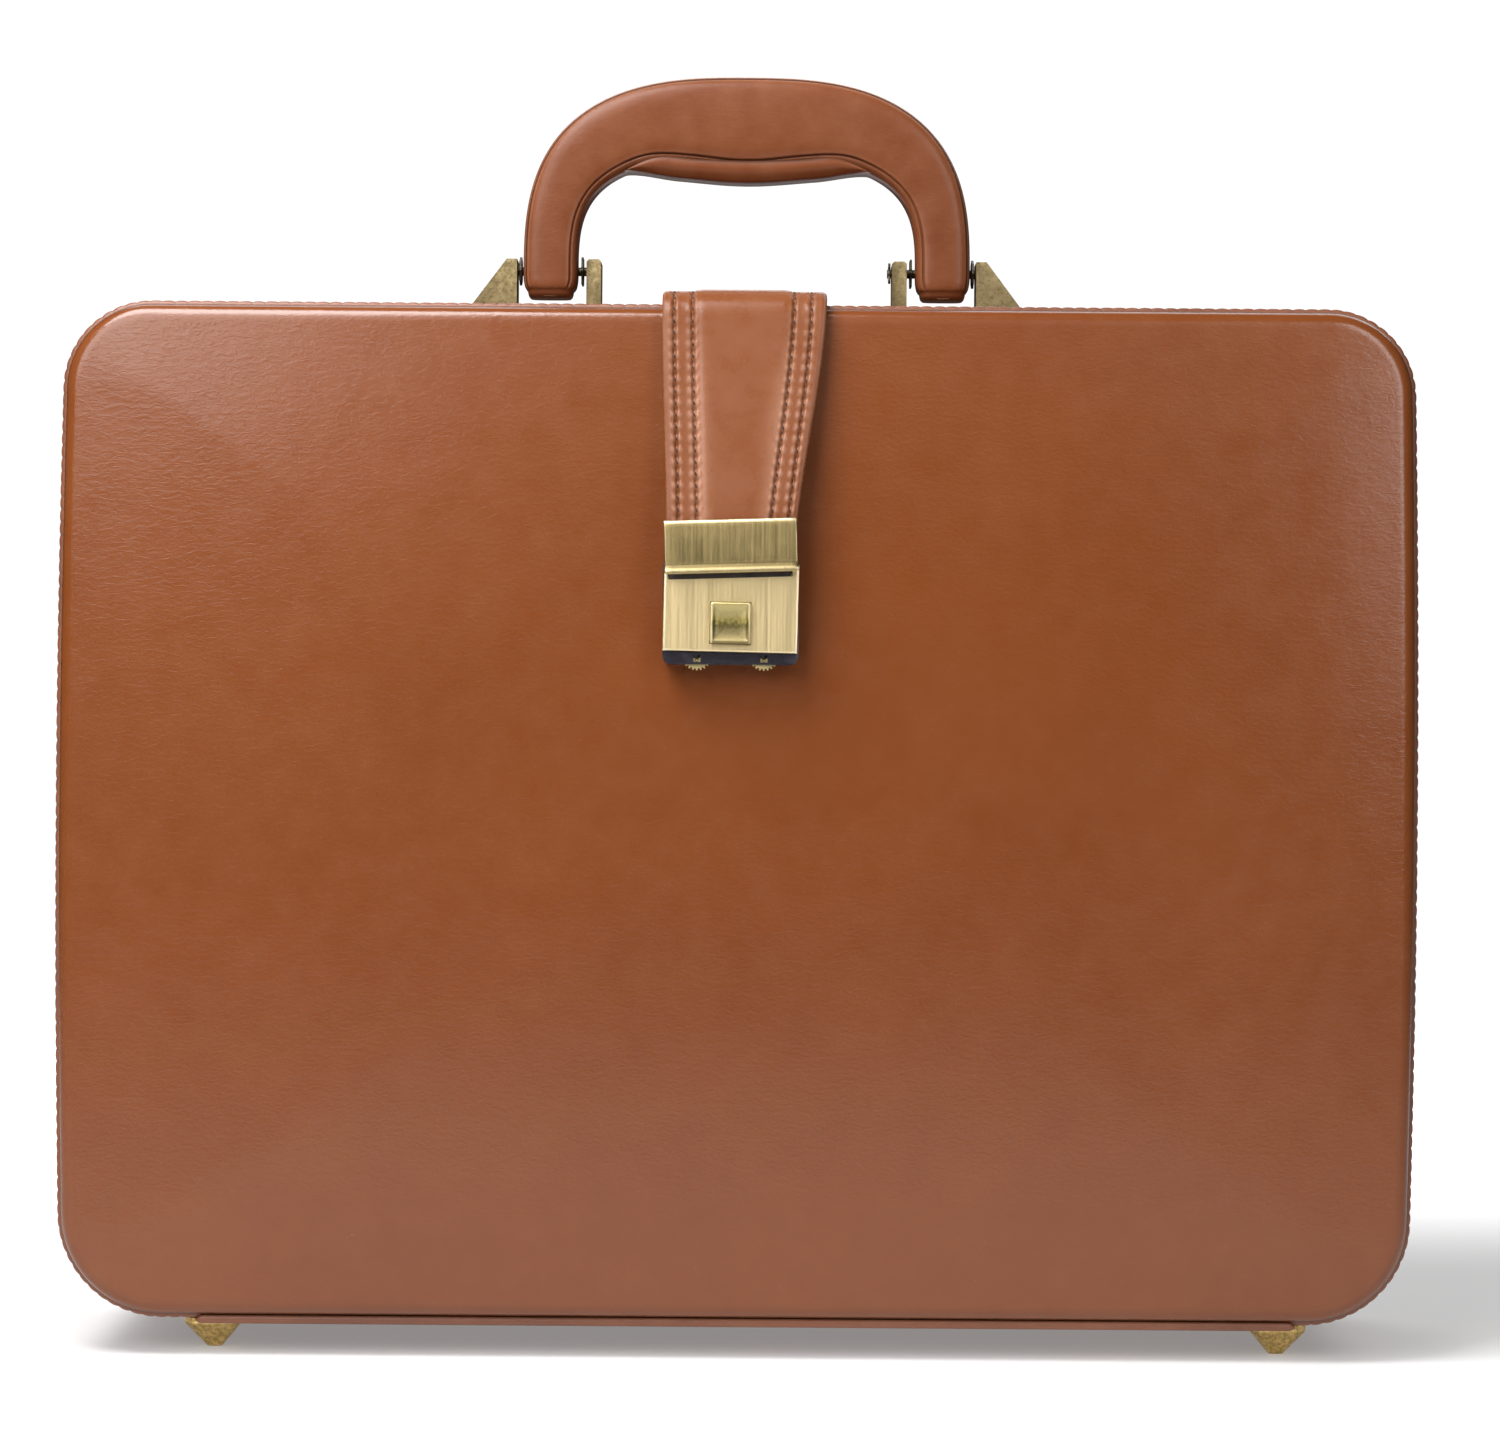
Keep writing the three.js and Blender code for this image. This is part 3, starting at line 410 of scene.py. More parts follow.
def plain_metal(name, light, dark, roughness, metallic=1.0):
    """Drawn or rolled metal with fine lines along x, faint stains and a little wear."""
    f = Finish(name)
    lines = f.noise(1.0, 3.0, 0.6, f.stretched(60.0, 1800.0, 1800.0))
    stains = f.spread(f.noise(240.0, 4.0, 0.6), 0.4, 0.7)
    tone = f.mix((lines * 0.5 + stains * 0.5).clamped(), light, dark)
    gloss = roughness + 0.15 * stains + 0.08 * (lines - 0.5)
    f.set(Base_Color=tone, Metallic=metallic, Roughness=gloss.clamped())
    f.set(Normal=f.relief(lines, 0.000012))
    return f.material


def suede(name, colour, deep):
    """A brushed lining: short nap in soft clouds, with no shine."""
    f = Finish(name)
    nap = f.noise(1900.0, 4.0, 0.7)
    strokes = f.spread(f.noise(28.0, 4.0, 0.6, f.stretched(1.0, 1.0, 2.0), 0.6), 0.35, 0.65)
    tone = f.mix(nap, deep, colour)
    tone = f.mix((strokes * 0.35).clamped(), tone, deep)
    f.set(Base_Color=tone, Roughness=0.93, Specular_IOR_Level=0.2, Sheen_Weight=0.35)
    f.set(Normal=f.relief(nap, 0.00018))
    return f.material


def timber(name, colour, deep):
    """Board or batten: long fibres with darker pores along x."""
    f = Finish(name)
    grain = f.noise(1.0, 5.0, 0.65, f.stretched(14.0, 420.0, 420.0), 0.4)
    speck = f.noise(1500.0, 3.0, 0.7)
    tone = f.mix(f.spread(grain, 0.3, 0.7), deep, colour)
    tone = f.mix((speck * 0.25).clamped(), tone, deep)
    f.set(Base_Color=tone, Roughness=0.78 + 0.12 * speck)
    f.set(Normal=f.relief(grain + speck * 0.4, 0.00012))
    return f.material


def thread_finish(name, colour, deep):
    """Waxed thread, twisted, with painted shade in its hollows."""
    f = Finish(name)
    twist = f.node("ShaderNodeTexWave", {"wave_type": "BANDS", "bands_direction": "DIAGONAL"},
                   {"Vector": f.place, "Scale": 900.0, "Distortion": 1.5})
    fuzz = f.noise(3000.0, 2.0)
    f.set(Base_Color=f.mix(twist * 0.6 + fuzz * 0.4, deep, colour), Roughness=0.62 + 0.1 * fuzz)
    f.set(Normal=f.relief(twist, 0.00008))
    return f.material


TAN = (0.148, 0.0372, 0.0072)
TAN_DEEP = (0.134, 0.0326, 0.0060)
TAN_PALE = (0.235, 0.083, 0.0300)

panel_finish = leather("panel leather", TAN, TAN_DEEP, TAN_PALE, 0.215)
strap_finish = leather("strap leather", (0.150, 0.0405, 0.0090), (0.136, 0.0360, 0.0075),
                       (0.38, 0.190, 0.120), 0.28, specular=0.20)
handle_finish = leather("handle leather", (0.118, 0.0280, 0.0055), (0.106, 0.0245, 0.0046),
                        (0.40, 0.18, 0.10), 0.32, specular=0.19)
piping_finish = leather("piping leather", (0.175, 0.050, 0.018), (0.115, 0.032, 0.011),
                        (0.34, 0.15, 0.085), 0.42, grain=1.5)
band_finish = leather("band leather", TAN, TAN_DEEP, TAN_PALE, 0.32)
face_brass = brushed_brass("face plate brass", (0.84, 0.67, 0.37), (0.62, 0.47, 0.235), 0.38, 1.0, 0.04)
hasp_brass = brushed_brass("hasp brass", (0.42, 0.32, 0.145), (0.22, 0.165, 0.066), 0.36, 1.1, 0.30)
dial_brass = plain_metal("dial brass", (0.80, 0.66, 0.34), (0.50, 0.38, 0.16), 0.34)
bracket_brass = cast_brass("bracket brass", (0.165, 0.125, 0.062), (0.140, 0.105, 0.050), 0.46, 500.0, 0.00001)
foot_brass = cast_brass("foot brass", (0.78, 0.56, 0.22), (0.40, 0.27, 0.09), 0.26, 620.0, 0.00016)
gunmetal = plain_metal("gunmetal", (0.055, 0.050, 0.062), (0.020, 0.018, 0.022), 0.34)
# A near-black brown for the painted shadow in the gap under the hasp's lip.
slot_shadow_finish = plain_metal("slot", (0.030, 0.019, 0.012), (0.014, 0.009, 0.006), 0.7, 0.0)
dark_steel = plain_metal("dark steel", (0.10, 0.085, 0.060), (0.03, 0.025, 0.020), 0.42)
steel = plain_metal("hinge steel", (0.56, 0.54, 0.50), (0.36, 0.34, 0.31), 0.34)
thread = thread_finish("brown thread", (0.060, 0.022, 0.012), (0.022, 0.009, 0.005))
lining_finish = suede("suede lining", (0.23, 0.135, 0.075), (0.12, 0.066, 0.035))
board_finish = timber("fibre board", (0.42, 0.30, 0.17), (0.27, 0.185, 0.10))
batten_finish = timber("batten wood", (0.36, 0.20, 0.095), (0.20, 0.10, 0.045))

# ---------------------------------------------------------------- the case's outline


def outline_samples():
    """The case's outline from the middle of the base round by the right: corner arcs, sides bowed by
    SIDE_BOW * (1 - s^2), straight top and base; with the distance travelled and the inward normal."""
    side_x = CASE_WIDTH / 2 - SIDE_BOW
    low, high = CASE_BOTTOM + BOTTOM_CORNER, CASE_TOP - TOP_CORNER

    def arc(x, z, radius, start, end):
        turn = np.radians(np.linspace(start, end, 50))
        return np.stack([x + radius * np.cos(turn), z + radius * np.sin(turn)], 1)

    s = np.linspace(-1, 1, 60)[1:-1]
    side = np.stack([side_x + SIDE_BOW * (1 - s * s), low + (s + 1) / 2 * (high - low)], 1)
    base = np.stack([np.linspace(0, side_x - BOTTOM_CORNER, 40)[:-1], np.full(39, CASE_BOTTOM)], 1)
    top = np.stack([np.linspace(side_x - TOP_CORNER, 0, 40)[1:], np.full(39, CASE_TOP)], 1)
    half = np.concatenate([
        base,
        arc(side_x - BOTTOM_CORNER, low, BOTTOM_CORNER, -90, 0),
        side,
        arc(side_x - TOP_CORNER, high, TOP_CORNER, 0, 90),
        top,
    ])
    whole = np.concatenate([half, (half * (-1, 1))[::-1][1:]])
    return whole, way_along(whole)


OUTLINE, TRAVELLED = outline_samples()
PERIMETER = TRAVELLED[-1]


def outline_at(distance, inset=0.0):
    """Points in x and z that far round the outline, moved in by inset along the inward normal."""
    def point(s):
        s = np.mod(s, PERIMETER)
        return np.stack([np.interp(s, TRAVELLED, OUTLINE[:, k]) for k in (0, 1)], -1)

    along = unit(point(distance + 2.0) - point(distance - 2.0))
    inward = np.stack([-along[..., 1], along[..., 0]], -1)
    return point(distance) + inward * np.asarray(inset)[..., None]


def hump(x, width):
    """A bell of height 1 at x = 0: exp(-(x / width)^2)."""
    return np.exp(-((np.asarray(x, float) / width) ** 2))


def smooth(x, low, high):
    """0 below low, 1 above high, and 3t^2 - 2t^3 between."""
    t = np.clip((np.asarray(x, float) - low) / (high - low), 0, 1)
    return t * t * (3 - 2 * t)


# ---------------------------------------------------------------- padded panels


def panel_depth(inset):
    """How far a panel's face stands out of the middle plane at an inset from its edge: a rolled
    edge 4.9 mm high over the first 5.2 mm, and a slow crown of 2.6 mm over the next 120."""
    crown = np.clip((inset - 1.5) / 120.0, 0, 1)
    return PANEL_RIM_Y + 4.9 * rounded((inset - 1.5) / 5.2, 2.4) + 2.6 * (1 - (1 - crown) ** 2.3)


def panel_leather(name, way, node):
    """One padded cover: rings set in from the outline while the corners allow it, then drawn in to
    the middle; the back is a flat floor over the board."""
    s = np.arange(900) / 900 * PERIMETER
    turn = np.linspace(0, np.pi / 2, 14)
    near = np.concatenate([1.5 + 5.2 * (1 - np.cos(turn)), np.linspace(7.6, 26, 14)])
    middle = np.array([0.0, (CASE_TOP + CASE_BOTTOM) / 2])
    to_middle = (CASE_TOP - CASE_BOTTOM - 2 * near[-1]) / 2
    rings = [outline_at(s, inset) for inset in near]
    depths = [panel_depth(inset) for inset in near]
    last = rings[-1]
    for share in np.linspace(0, 1, 34)[1:-1]:
        rings.append(last + (middle - last) * share)
        depths.append(panel_depth(near[-1] + share * to_middle))
    back = outline_at(s, 3.1)
    rings = [back, back, outline_at(s, 1.7)] + rings
    depths = [PANEL_RIM_Y + 2.6, PANEL_RIM_Y, PANEL_RIM_Y] + depths
    points = np.stack([upright(r, way * d) for r, d in zip(rings[::-1], depths[::-1])])
    inner = points[-1] + ((0, 0, middle[1]) - points[-1]) * (1, 0, 1) * 0.5
    points = np.concatenate([points, inner[None]])
    # Painted shade: the rolled edge darkened beside the piping, where the seam lies in shadow.
    rim = smooth(-np.array(depths[::-1] + [0]), -(PANEL_RIM_Y + 3.4), -(PANEL_RIM_Y + 1.2))
    crease = np.broadcast_to(0.95 * rim[:, None], points.shape[:2])
    piece = skin(name, points, marks={"crease": crease})
    finish_piece(piece, "case", panel_finish, (node,))


panel_leather("front_panel_leather", -1, "front_cover")
panel_leather("rear_panel_leather", 1, "rear_cover")

# ---------------------------------------------------------------- piping


def piping(name, way, node):
    """The piping round a panel: a bead whose outer side is drawn into small waves by its overcast
    stitches, height 0.42 * |sin(pi s / pitch)|^0.7 - 0.25, and is smooth along the base strip."""
    lumps = round(PERIMETER / STITCH_PITCH)
    count = lumps * 8
    s = np.arange(count) / count * PERIMETER
    wave = np.abs(np.sin(np.pi * lumps * s / PERIMETER)) ** 0.7
    flat = smooth(np.abs(s - PERIMETER * (s > PERIMETER / 2)), 168, 182)
    wave = 1 - (1 - wave) * flat * (0.75 + 0.25 * np.sin(s * 0.37) * np.sin(s * 0.113))
    points, crease = [], []
    for angle in full_turn(14):
        outer = max(math.cos(angle), 0)
        inset = 1.55 - 1.45 * math.cos(angle) - (0.42 * wave - 0.25) * outer
        points.append(upright(outline_at(s, inset), way * (55.85 + 1.0 * math.sin(angle))))
        # Painted shade in the valleys between the stitch waves and on the bead's inner side, against the panel.
        crease.append(0.45 * hump(wave, 0.30) * flat + 0.9 * smooth(-math.cos(angle), -0.35, 0.5))
    piece = skin(name, np.stack(points), rows_meet=True, marks={"crease": np.stack(crease)})
    return finish_piece(piece, "case", piping_finish, (node,))


piping("front_piping", -1, "front_welt")
piping("rear_piping", 1, "rear_welt")

# ---------------------------------------------------------------- side band and base strip


def threads(name, centres, along, across, length, radius, body):
    """Many short stitches in one mesh: each a six-sided spindle, radius * sin(pi t)^0.55 thick, laid
    along its own direction with its ends dipping in."""
    along = unit(np.asarray(along, float))
    across = np.asarray(across, float)
    across = unit(across - along * (along * across).sum(1, keepdims=True))
    t = np.array([0.0, 0.16, 0.5, 0.84, 1.0])
    around = full_turn(6)
    thick = np.sin(np.pi * t[:, None]) ** 0.55 * radius
    local = np.stack([
        np.broadcast_to((t[:, None] - 0.5) * length, (5, 6)),
        thick * np.cos(around),
        thick * np.sin(around) - 0.35 * radius * (2 * t[:, None] - 1) ** 2,
    ], -1)
    frames = np.stack([along, across, np.cross(along, across)], 1)
    points = np.asarray(centres, float)[:, None, None] + np.einsum("ijc,nck->nijk", local, frames)
    faces = quads(5, 6, False, True)
    faces = (faces[None] + np.arange(len(centres))[:, None, None] * 30).reshape(-1, 4)
    piece = mesh_piece(name, to_frame(points.reshape(-1, 3)), faces)
    return finish_piece(piece, body, thread)


def band_reach():
    """The distance round the outline from the middle of the base to where the band stops."""
    half = TRAVELLED <= PERIMETER / 2
    past = half & (OUTLINE[:, 1] > CASE_TOP - 0.01) & (OUTLINE[:, 0] < BAND_END_X)
    at = np.argmax(past)
    return TRAVELLED[at] - (BAND_END_X - OUTLINE[at, 0])


def side_band():
    """The leather round the sides and the base: a strip 1.4 mm thick that follows the outline, with a
    stitched line near both edges and its edges rounded."""
    reach = band_reach()
    s = np.linspace(-reach, reach, 700)
    edge = np.append(np.linspace(48.0, 53.8, 15), [54.5, 54.7])
    y = np.concatenate([-edge[::-1], np.linspace(-46, 46, 24), edge])
    groove = hump(np.abs(y) - BAND_SEAM_Y, 0.55)
    outer = 0.8 + 0.35 * groove + 0.5 * smooth(np.abs(y), 54.0, 54.7)
    under = y[::-1][::4]
    inset = np.append(outer, np.full(len(under), 2.1))
    # Painted shade along the two sewn grooves.
    mark = np.append(0.6 * groove, np.zeros(len(under)))
    xz = outline_at(s[:, None] + 0 * inset, inset + 0 * s[:, None])
    points = upright(xz, np.append(y, under))
    piece = skin("band_leather", points, marks={"crease": np.broadcast_to(mark, xz.shape[:2])})
    finish_piece(piece, "case", band_finish, ("band_cover",))
    rows = np.arange(-reach + 3, reach - 3, STITCH_PITCH)
    here, ahead = outline_at(rows, 0.95), outline_at(rows + 1, 0.95)
    centres = np.concatenate([upright(here, -BAND_SEAM_Y), upright(here, BAND_SEAM_Y)])
    along = np.tile(upright(ahead - here, 0.0), (2, 1))
    threads("band_stitches", centres, along, np.tile(ALONG_Y, (len(centres), 1)), 3.0, 0.33, "case")


side_band()


def base_strip():
    """The strip under the base: a thin plate whose two long edges roll up over the piping; its
    ends are rounded off over the feet."""
    front = np.array([
        (-56.9, 12.0), (-57.0, 12.9), (-57.5, 13.2), (-58.1, 12.9),
        (-58.5, 11.8), (-58.3, 10.8), (-57.5, 10.25), (-56.2, 10.5),
    ])
    under = np.stack([np.linspace(-50, 50, 12), np.full(12, 10.7)], 1)
    upper = np.stack([np.linspace(56.2, -56.2, 14), np.full(14, 11.75)], 1)
    section = np.concatenate([front, under, front[::-1] * (-1, 1), upper])
    turn = np.linspace(0, np.pi / 2, 6)
    left_end, right_end = -175.4 + 1.4 * np.sin(turn), 182 + 1.4 * (1 - np.cos(turn))
    x = np.sort(np.concatenate([left_end, np.linspace(-173, 181, 60), right_end]))
    near_end = np.minimum(x + 175.4, 183.4 - x)
    shrink = 1 - 0.75 * (1 - smooth(near_end, 0, 2.2)) ** 1.5
    y = section[:, 0]
    middle = np.stack([np.where(np.abs(y) > 50, np.sign(y) * 57.4, y), np.full(len(y), 11.3)], 1)
    loops = middle + (section - middle) * shrink[:, None, None]
    # Paler along the tops of the two rolled edges.
    worn = 0.25 * smooth(-section[:, 1], -13.4, -12.4) * smooth(section[:, 1], 11.5, 13)
    marks = {"rub": np.broadcast_to(worn, loops.shape[:2])}
    piece = skin("base_strip_leather", along_x(x, loops), marks=marks)
    finish_piece(piece, "case", piping_finish, ("base_plate",))


base_strip()

# ---------------------------------------------------------------- handle


def arch(shape, turn):
    """A point of a superellipse arch: x = w cos^(2/p), z = h sin^(2/p) over the pins."""
    half_width, height, power = shape
    c, s = np.cos(turn), np.sin(turn)
    x = HANDLE_X + half_width * np.sign(c) * np.abs(c) ** (2 / power)
    return np.stack([x, PIN_Z + height * np.abs(s) ** (2 / power)], -1)


def handle_rows():
    """Inner and outer points along the handle from the right leg's end to the left one's, with the
    share of the depth at each row. The legs' ends step in to a narrower lip."""
    turn = np.linspace(0, np.pi, 260)
    inner, outer = arch(HANDLE_INNER, turn), arch(HANDLE_OUTER, turn)
    drop = np.array([9.5, 9.35, 8.7, 7.8, 6.9, 6.6, 6.3, 5.6, 4.6, 3.4, 1.8])
    squeeze = np.array([3.6, 2.5, 1.9, 1.65, 1.5, 1.25, 0.95, 0.55, 0.3, 0.1, 0.0])
    shrink = np.array([0.34, 0.58, 0.78, 0.85, 0.88, 0.92, 0.96, 0.985, 1.0, 1.0, 1.0])

    def leg(way):
        a = np.stack([HANDLE_X + way * (57.4 + squeeze), PIN_Z - drop], -1)
        b = np.stack([HANDLE_X + way * (76.0 - squeeze), PIN_Z - drop], -1)
        return a, b

    right, left = leg(1), leg(-1)
    inner = np.concatenate([right[0], inner, left[0][::-1]])
    outer = np.concatenate([right[1], outer, left[1][::-1]])
    depth = np.concatenate([shrink, np.ones(len(turn)), shrink[::-1]])
    return inner, outer, depth


def seam_angle(share):
    """Where on a rounded section the given share of its half width lies."""
    share = np.clip(share, -0.995, 0.995)
    return np.arcsin(np.sign(share) * np.abs(share) ** 2)


def handle_leather():
    """The handle's cover: at each row a rounded section |a|^4 + |d|^4 = 1 between the inner and the
    outer line, with a sewn groove near each line on both faces. Under the grip the inner line dips
    by 3.2 mm and the groove swings away from it in a shallow bow."""
    inner, outer, depth = handle_rows()
    under = inner[:, 1] > PIN_Z + 20
    x = inner[:, 0] - HANDLE_X
    inner = inner.copy()
    inner[:, 1] -= np.where(under, 3.2 * hump(x, 20.0), 0)
    half = np.linalg.norm(outer - inner, axis=1) / 2
    bow = 0.9 * hump(np.abs(x) - 33, 9.0) - 0.1 * hump(x, 19.0)
    seam_in, seam_out = (2.5 + np.where(under, bow, 0)) / half - 1, 1 - 1.1 / half
    legs = smooth(inner[:, 1], PIN_Z - 7.5, PIN_Z - 5.0)[:, None]

    # The columns crowd round the two seams, wherever these lie on the section.
    quarter, base_in, base_out = np.pi / 2, -0.62, 1.13
    theta = np.sort(np.concatenate([
        np.linspace(-quarter, quarter, 41),
        base_in + np.linspace(-0.16, 0.16, 17),
        base_out + np.linspace(-0.12, 0.12, 13),
    ]))
    from_angles = (-quarter, base_in, base_out, quarter)
    warped = np.stack([
        np.interp(theta, from_angles, (-quarter, a, b, quarter))
        for a, b in zip(seam_angle(seam_in), seam_angle(seam_out))
    ])
    c = np.sign(np.sin(warped)) * np.abs(np.sin(warped)) ** 0.5
    d = np.abs(np.cos(warped)) ** 0.5

    off_in, off_out = ((c - seam[:, None]) * half[:, None] for seam in (seam_in, seam_out))
    groove_in, groove_out = hump(off_in, 0.34) * legs, hump(off_out, 0.30) * legs
    ridge_out = hump(off_out - 0.52, 0.25) + hump(off_out + 0.6, 0.35)
    ridge_in = hump(off_in - 0.85, 0.45) + hump(off_in + 0.8, 0.4)
    # Painted shade in the sewn grooves, deepest in the inner one over the roll; painted highlights on the ridges
    # beside them.
    over_roll = np.where(under, smooth(-np.abs(x), -46, -36), 0)[:, None]
    crease = np.clip((0.45 + 0.55 * over_roll) * groove_in + 0.9 * groove_out, 0, 1)
    rub = (0.34 * ridge_out + 0.10 * ridge_in) * legs
    out = (HANDLE_DEPTH / 2) * depth[:, None] * d - 0.55 * (groove_in + groove_out)
    middle, reach = (inner + outer) / 2, (outer - inner) / 2
    xz = middle[:, None] + reach[:, None] * c[..., None]
    points = np.concatenate([upright(xz, PIN_Y - out), upright(xz, PIN_Y + out)[:, -2:0:-1]], 1)
    marks = {"crease": crease, "rub": rub}
    marks = {k: np.concatenate([m, m[:, -2:0:-1]], 1) for k, m in marks.items()}
    piece = skin("handle_leather", points, marks=marks)
    finish_piece(piece, "handle", handle_finish, ("handle_cover",))


handle_leather()


def grip_roll():
    """The soft roll under the grip: across it a rounded bow that starts at the handle's sewn groove,
    along it a lens whose lower edge is nearly flat for its middle half and runs out to a point at
    each leg."""
    t = np.linspace(-1, 1, 90)[:, None]
    x = 42.0 * t
    half_width, height, power = HANDLE_INNER
    bare = PIN_Z + height * (1 - np.abs(x / half_width) ** power) ** (1 / power)
    dip = 1.2 * hump(x, 20.0)
    top = bare + 0.15 + 2.0 * hump(np.abs(x) - 31, 9.0) - dip
    low = bare - dip - 6.1 * (1 - np.abs(t) ** 2.3) ** 0.85 - 1.05
    low += 1.75 * smooth(np.abs(t), 0.55, 1.0)
    wide = HANDLE_DEPTH / 2 * (0.93 - 0.10 * np.abs(t) ** 3)
    turn = np.linspace(0, np.pi, 26)
    sag = np.abs(np.sin(turn)) ** 0.8
    deep = np.sign(np.cos(turn)) * np.abs(np.cos(turn)) ** 0.42
    deep = deep * (0.93 + 0.07 * np.sin(np.pi * np.clip(sag * 1.25, 0, 1)))
    y = PIN_Y + wide * np.append(deep, np.linspace(-0.80, 0.80, 6))
    z = np.concatenate([top + (low - top) * sag, np.broadcast_to(top + 0.5, (90, 6))], 1)
    points = np.stack([np.broadcast_to(HANDLE_X + x, y.shape), y, z], -1)
    # Painted shade: darker along the top, tucked under the handle's groove, and along the underside.
    shade = 0.85 * smooth(-sag, -0.16, 0.0) + 0.55 * smooth(sag, 0.88, 1.0)
    crease = np.broadcast_to(np.append(shade, np.ones(6)), y.shape)
    piece = skin("grip_roll_leather", points, marks={"crease": crease})
    finish_piece(piece, "handle", handle_finish, ("grip_roll",))


grip_roll()

# ---------------------------------------------------------------- strap

# The strap's middle line, seen from the side, in y and z: along the lids, round the edge, down to the lock.
STRAP_LINE = np.array([
    (31.0, 346.4), (10.0, 346.4), (-30.0, 346.4), (-52.0, 346.5), (-58.8, 346.4), (-62.4, 345.5), (-65.3, 343.2),
    (-66.8, 339.8), (-67.4, 335.0), (-69.6, 321.0), (-73.0, 299.0), (-76.3, 279.0), (-77.0, 272.6), (-77.1, 265.6),
])


def rounded_line(corners, count):
    """A smooth line through corners: straight pieces sampled every 0.4 mm and averaged over 5 mm."""
    step = np.linalg.norm(np.diff(corners, axis=0), axis=1)
    travelled = np.concatenate([[0], np.cumsum(step)])
    s = np.arange(0, travelled[-1], 0.4)
    line = np.stack([np.interp(s, travelled, corners[:, k]) for k in (0, 1)], 1)
    window = np.hanning(15) / np.hanning(15).sum()
    padded = np.concatenate([2 * line[0] - line[7:0:-1], line, 2 * line[-1] - line[-2:-9:-1]])
    line = np.stack([np.convolve(padded[:, k], window, "valid") for k in (0, 1)], 1)
    step = np.linalg.norm(np.diff(line, axis=0), axis=1)
    travelled = np.concatenate([[0], np.cumsum(step)])
    s = np.linspace(0, travelled[-1], count)
    return np.stack([np.interp(s, travelled, line[:, k]) for k in (0, 1)], 1), s


STRAP_ROWS = 430
STRAP_YZ, STRAP_S = rounded_line(STRAP_LINE, STRAP_ROWS)
STRAP_EDGE = float(np.interp(58.8, -STRAP_YZ[:, 0], STRAP_S))
STRAP_END = float(STRAP_S[-1])


def strap_sides(s):
    """The strap's left and right edge at a distance s: wide over the lids, drawn in down to the lock."""
    t = smooth(s, STRAP_EDGE + 2, STRAP_END + 14) * 1.22
    left = STRAP_X - 26.75 + 1.9 * t
    right = STRAP_X + 26.75 - 8.6 * t
    tail = 9.0 * (1 - smooth(s, -1, 8)) ** 2
    return left + tail, right - tail


def strap_rows(s):
    """Where the four stitched rows lie at a distance s."""
    left, right = strap_sides(s)
    t = smooth(s, STRAP_EDGE, STRAP_END)
    return left + 3.8, left + 9.8, right - (10.6 - 2.2 * t), right - (5.0 - 2.2 * t)


def strap_height(s, x):
    """The upper face's height over the strap's middle line: 1.75 mm past the folded edges, sewn channels
    at the four rows, puckered once per stitch, and a padded middle 0.7 mm higher."""
    left, right = strap_sides(s)
    rows = strap_rows(s)
    edge = np.minimum(x - left, right - x)
    height = 1.75 * rounded(edge / 1.7, 2.3)
    height -= 0.10 * hump(edge - 1.25, 0.22)
    inside = smooth(x - rows[1], -0.6, 3.6) * smooth(rows[2] - x, -0.6, 3.6)
    down = smooth(s, STRAP_EDGE - 6, STRAP_EDGE + 45)
    height += inside * (0.55 + 0.15 * down)
    pulled = 0.5 + 0.5 * np.cos(2 * np.pi * s / STRAP_PITCH)
    for row in rows:
        off = x - row
        height -= (0.24 + 0.42 * pulled + 0.10 * down) * hump(off, 0.6)
        height += hump(np.abs(off) - 1.1, 0.6) * (0.04 + (0.10 + 0.22 * down) * (1 - pulled))
    return height


def strap_point(s, x, height):
    """The point over the strap's middle line at a distance s, a side position x and a height."""
    y, z = (np.interp(s, STRAP_S, STRAP_YZ[:, k]) for k in (0, 1))
    y2, z2 = (np.interp(s + 0.5, STRAP_S, STRAP_YZ[:, k]) for k in (0, 1))
    y1, z1 = (np.interp(s - 0.5, STRAP_S, STRAP_YZ[:, k]) for k in (0, 1))
    length = np.hypot(y2 - y1, z2 - z1)
    ny, nz = -(z2 - z1) / length, (y2 - y1) / length
    return np.stack([x, y - ny * height, z - nz * height], -1)


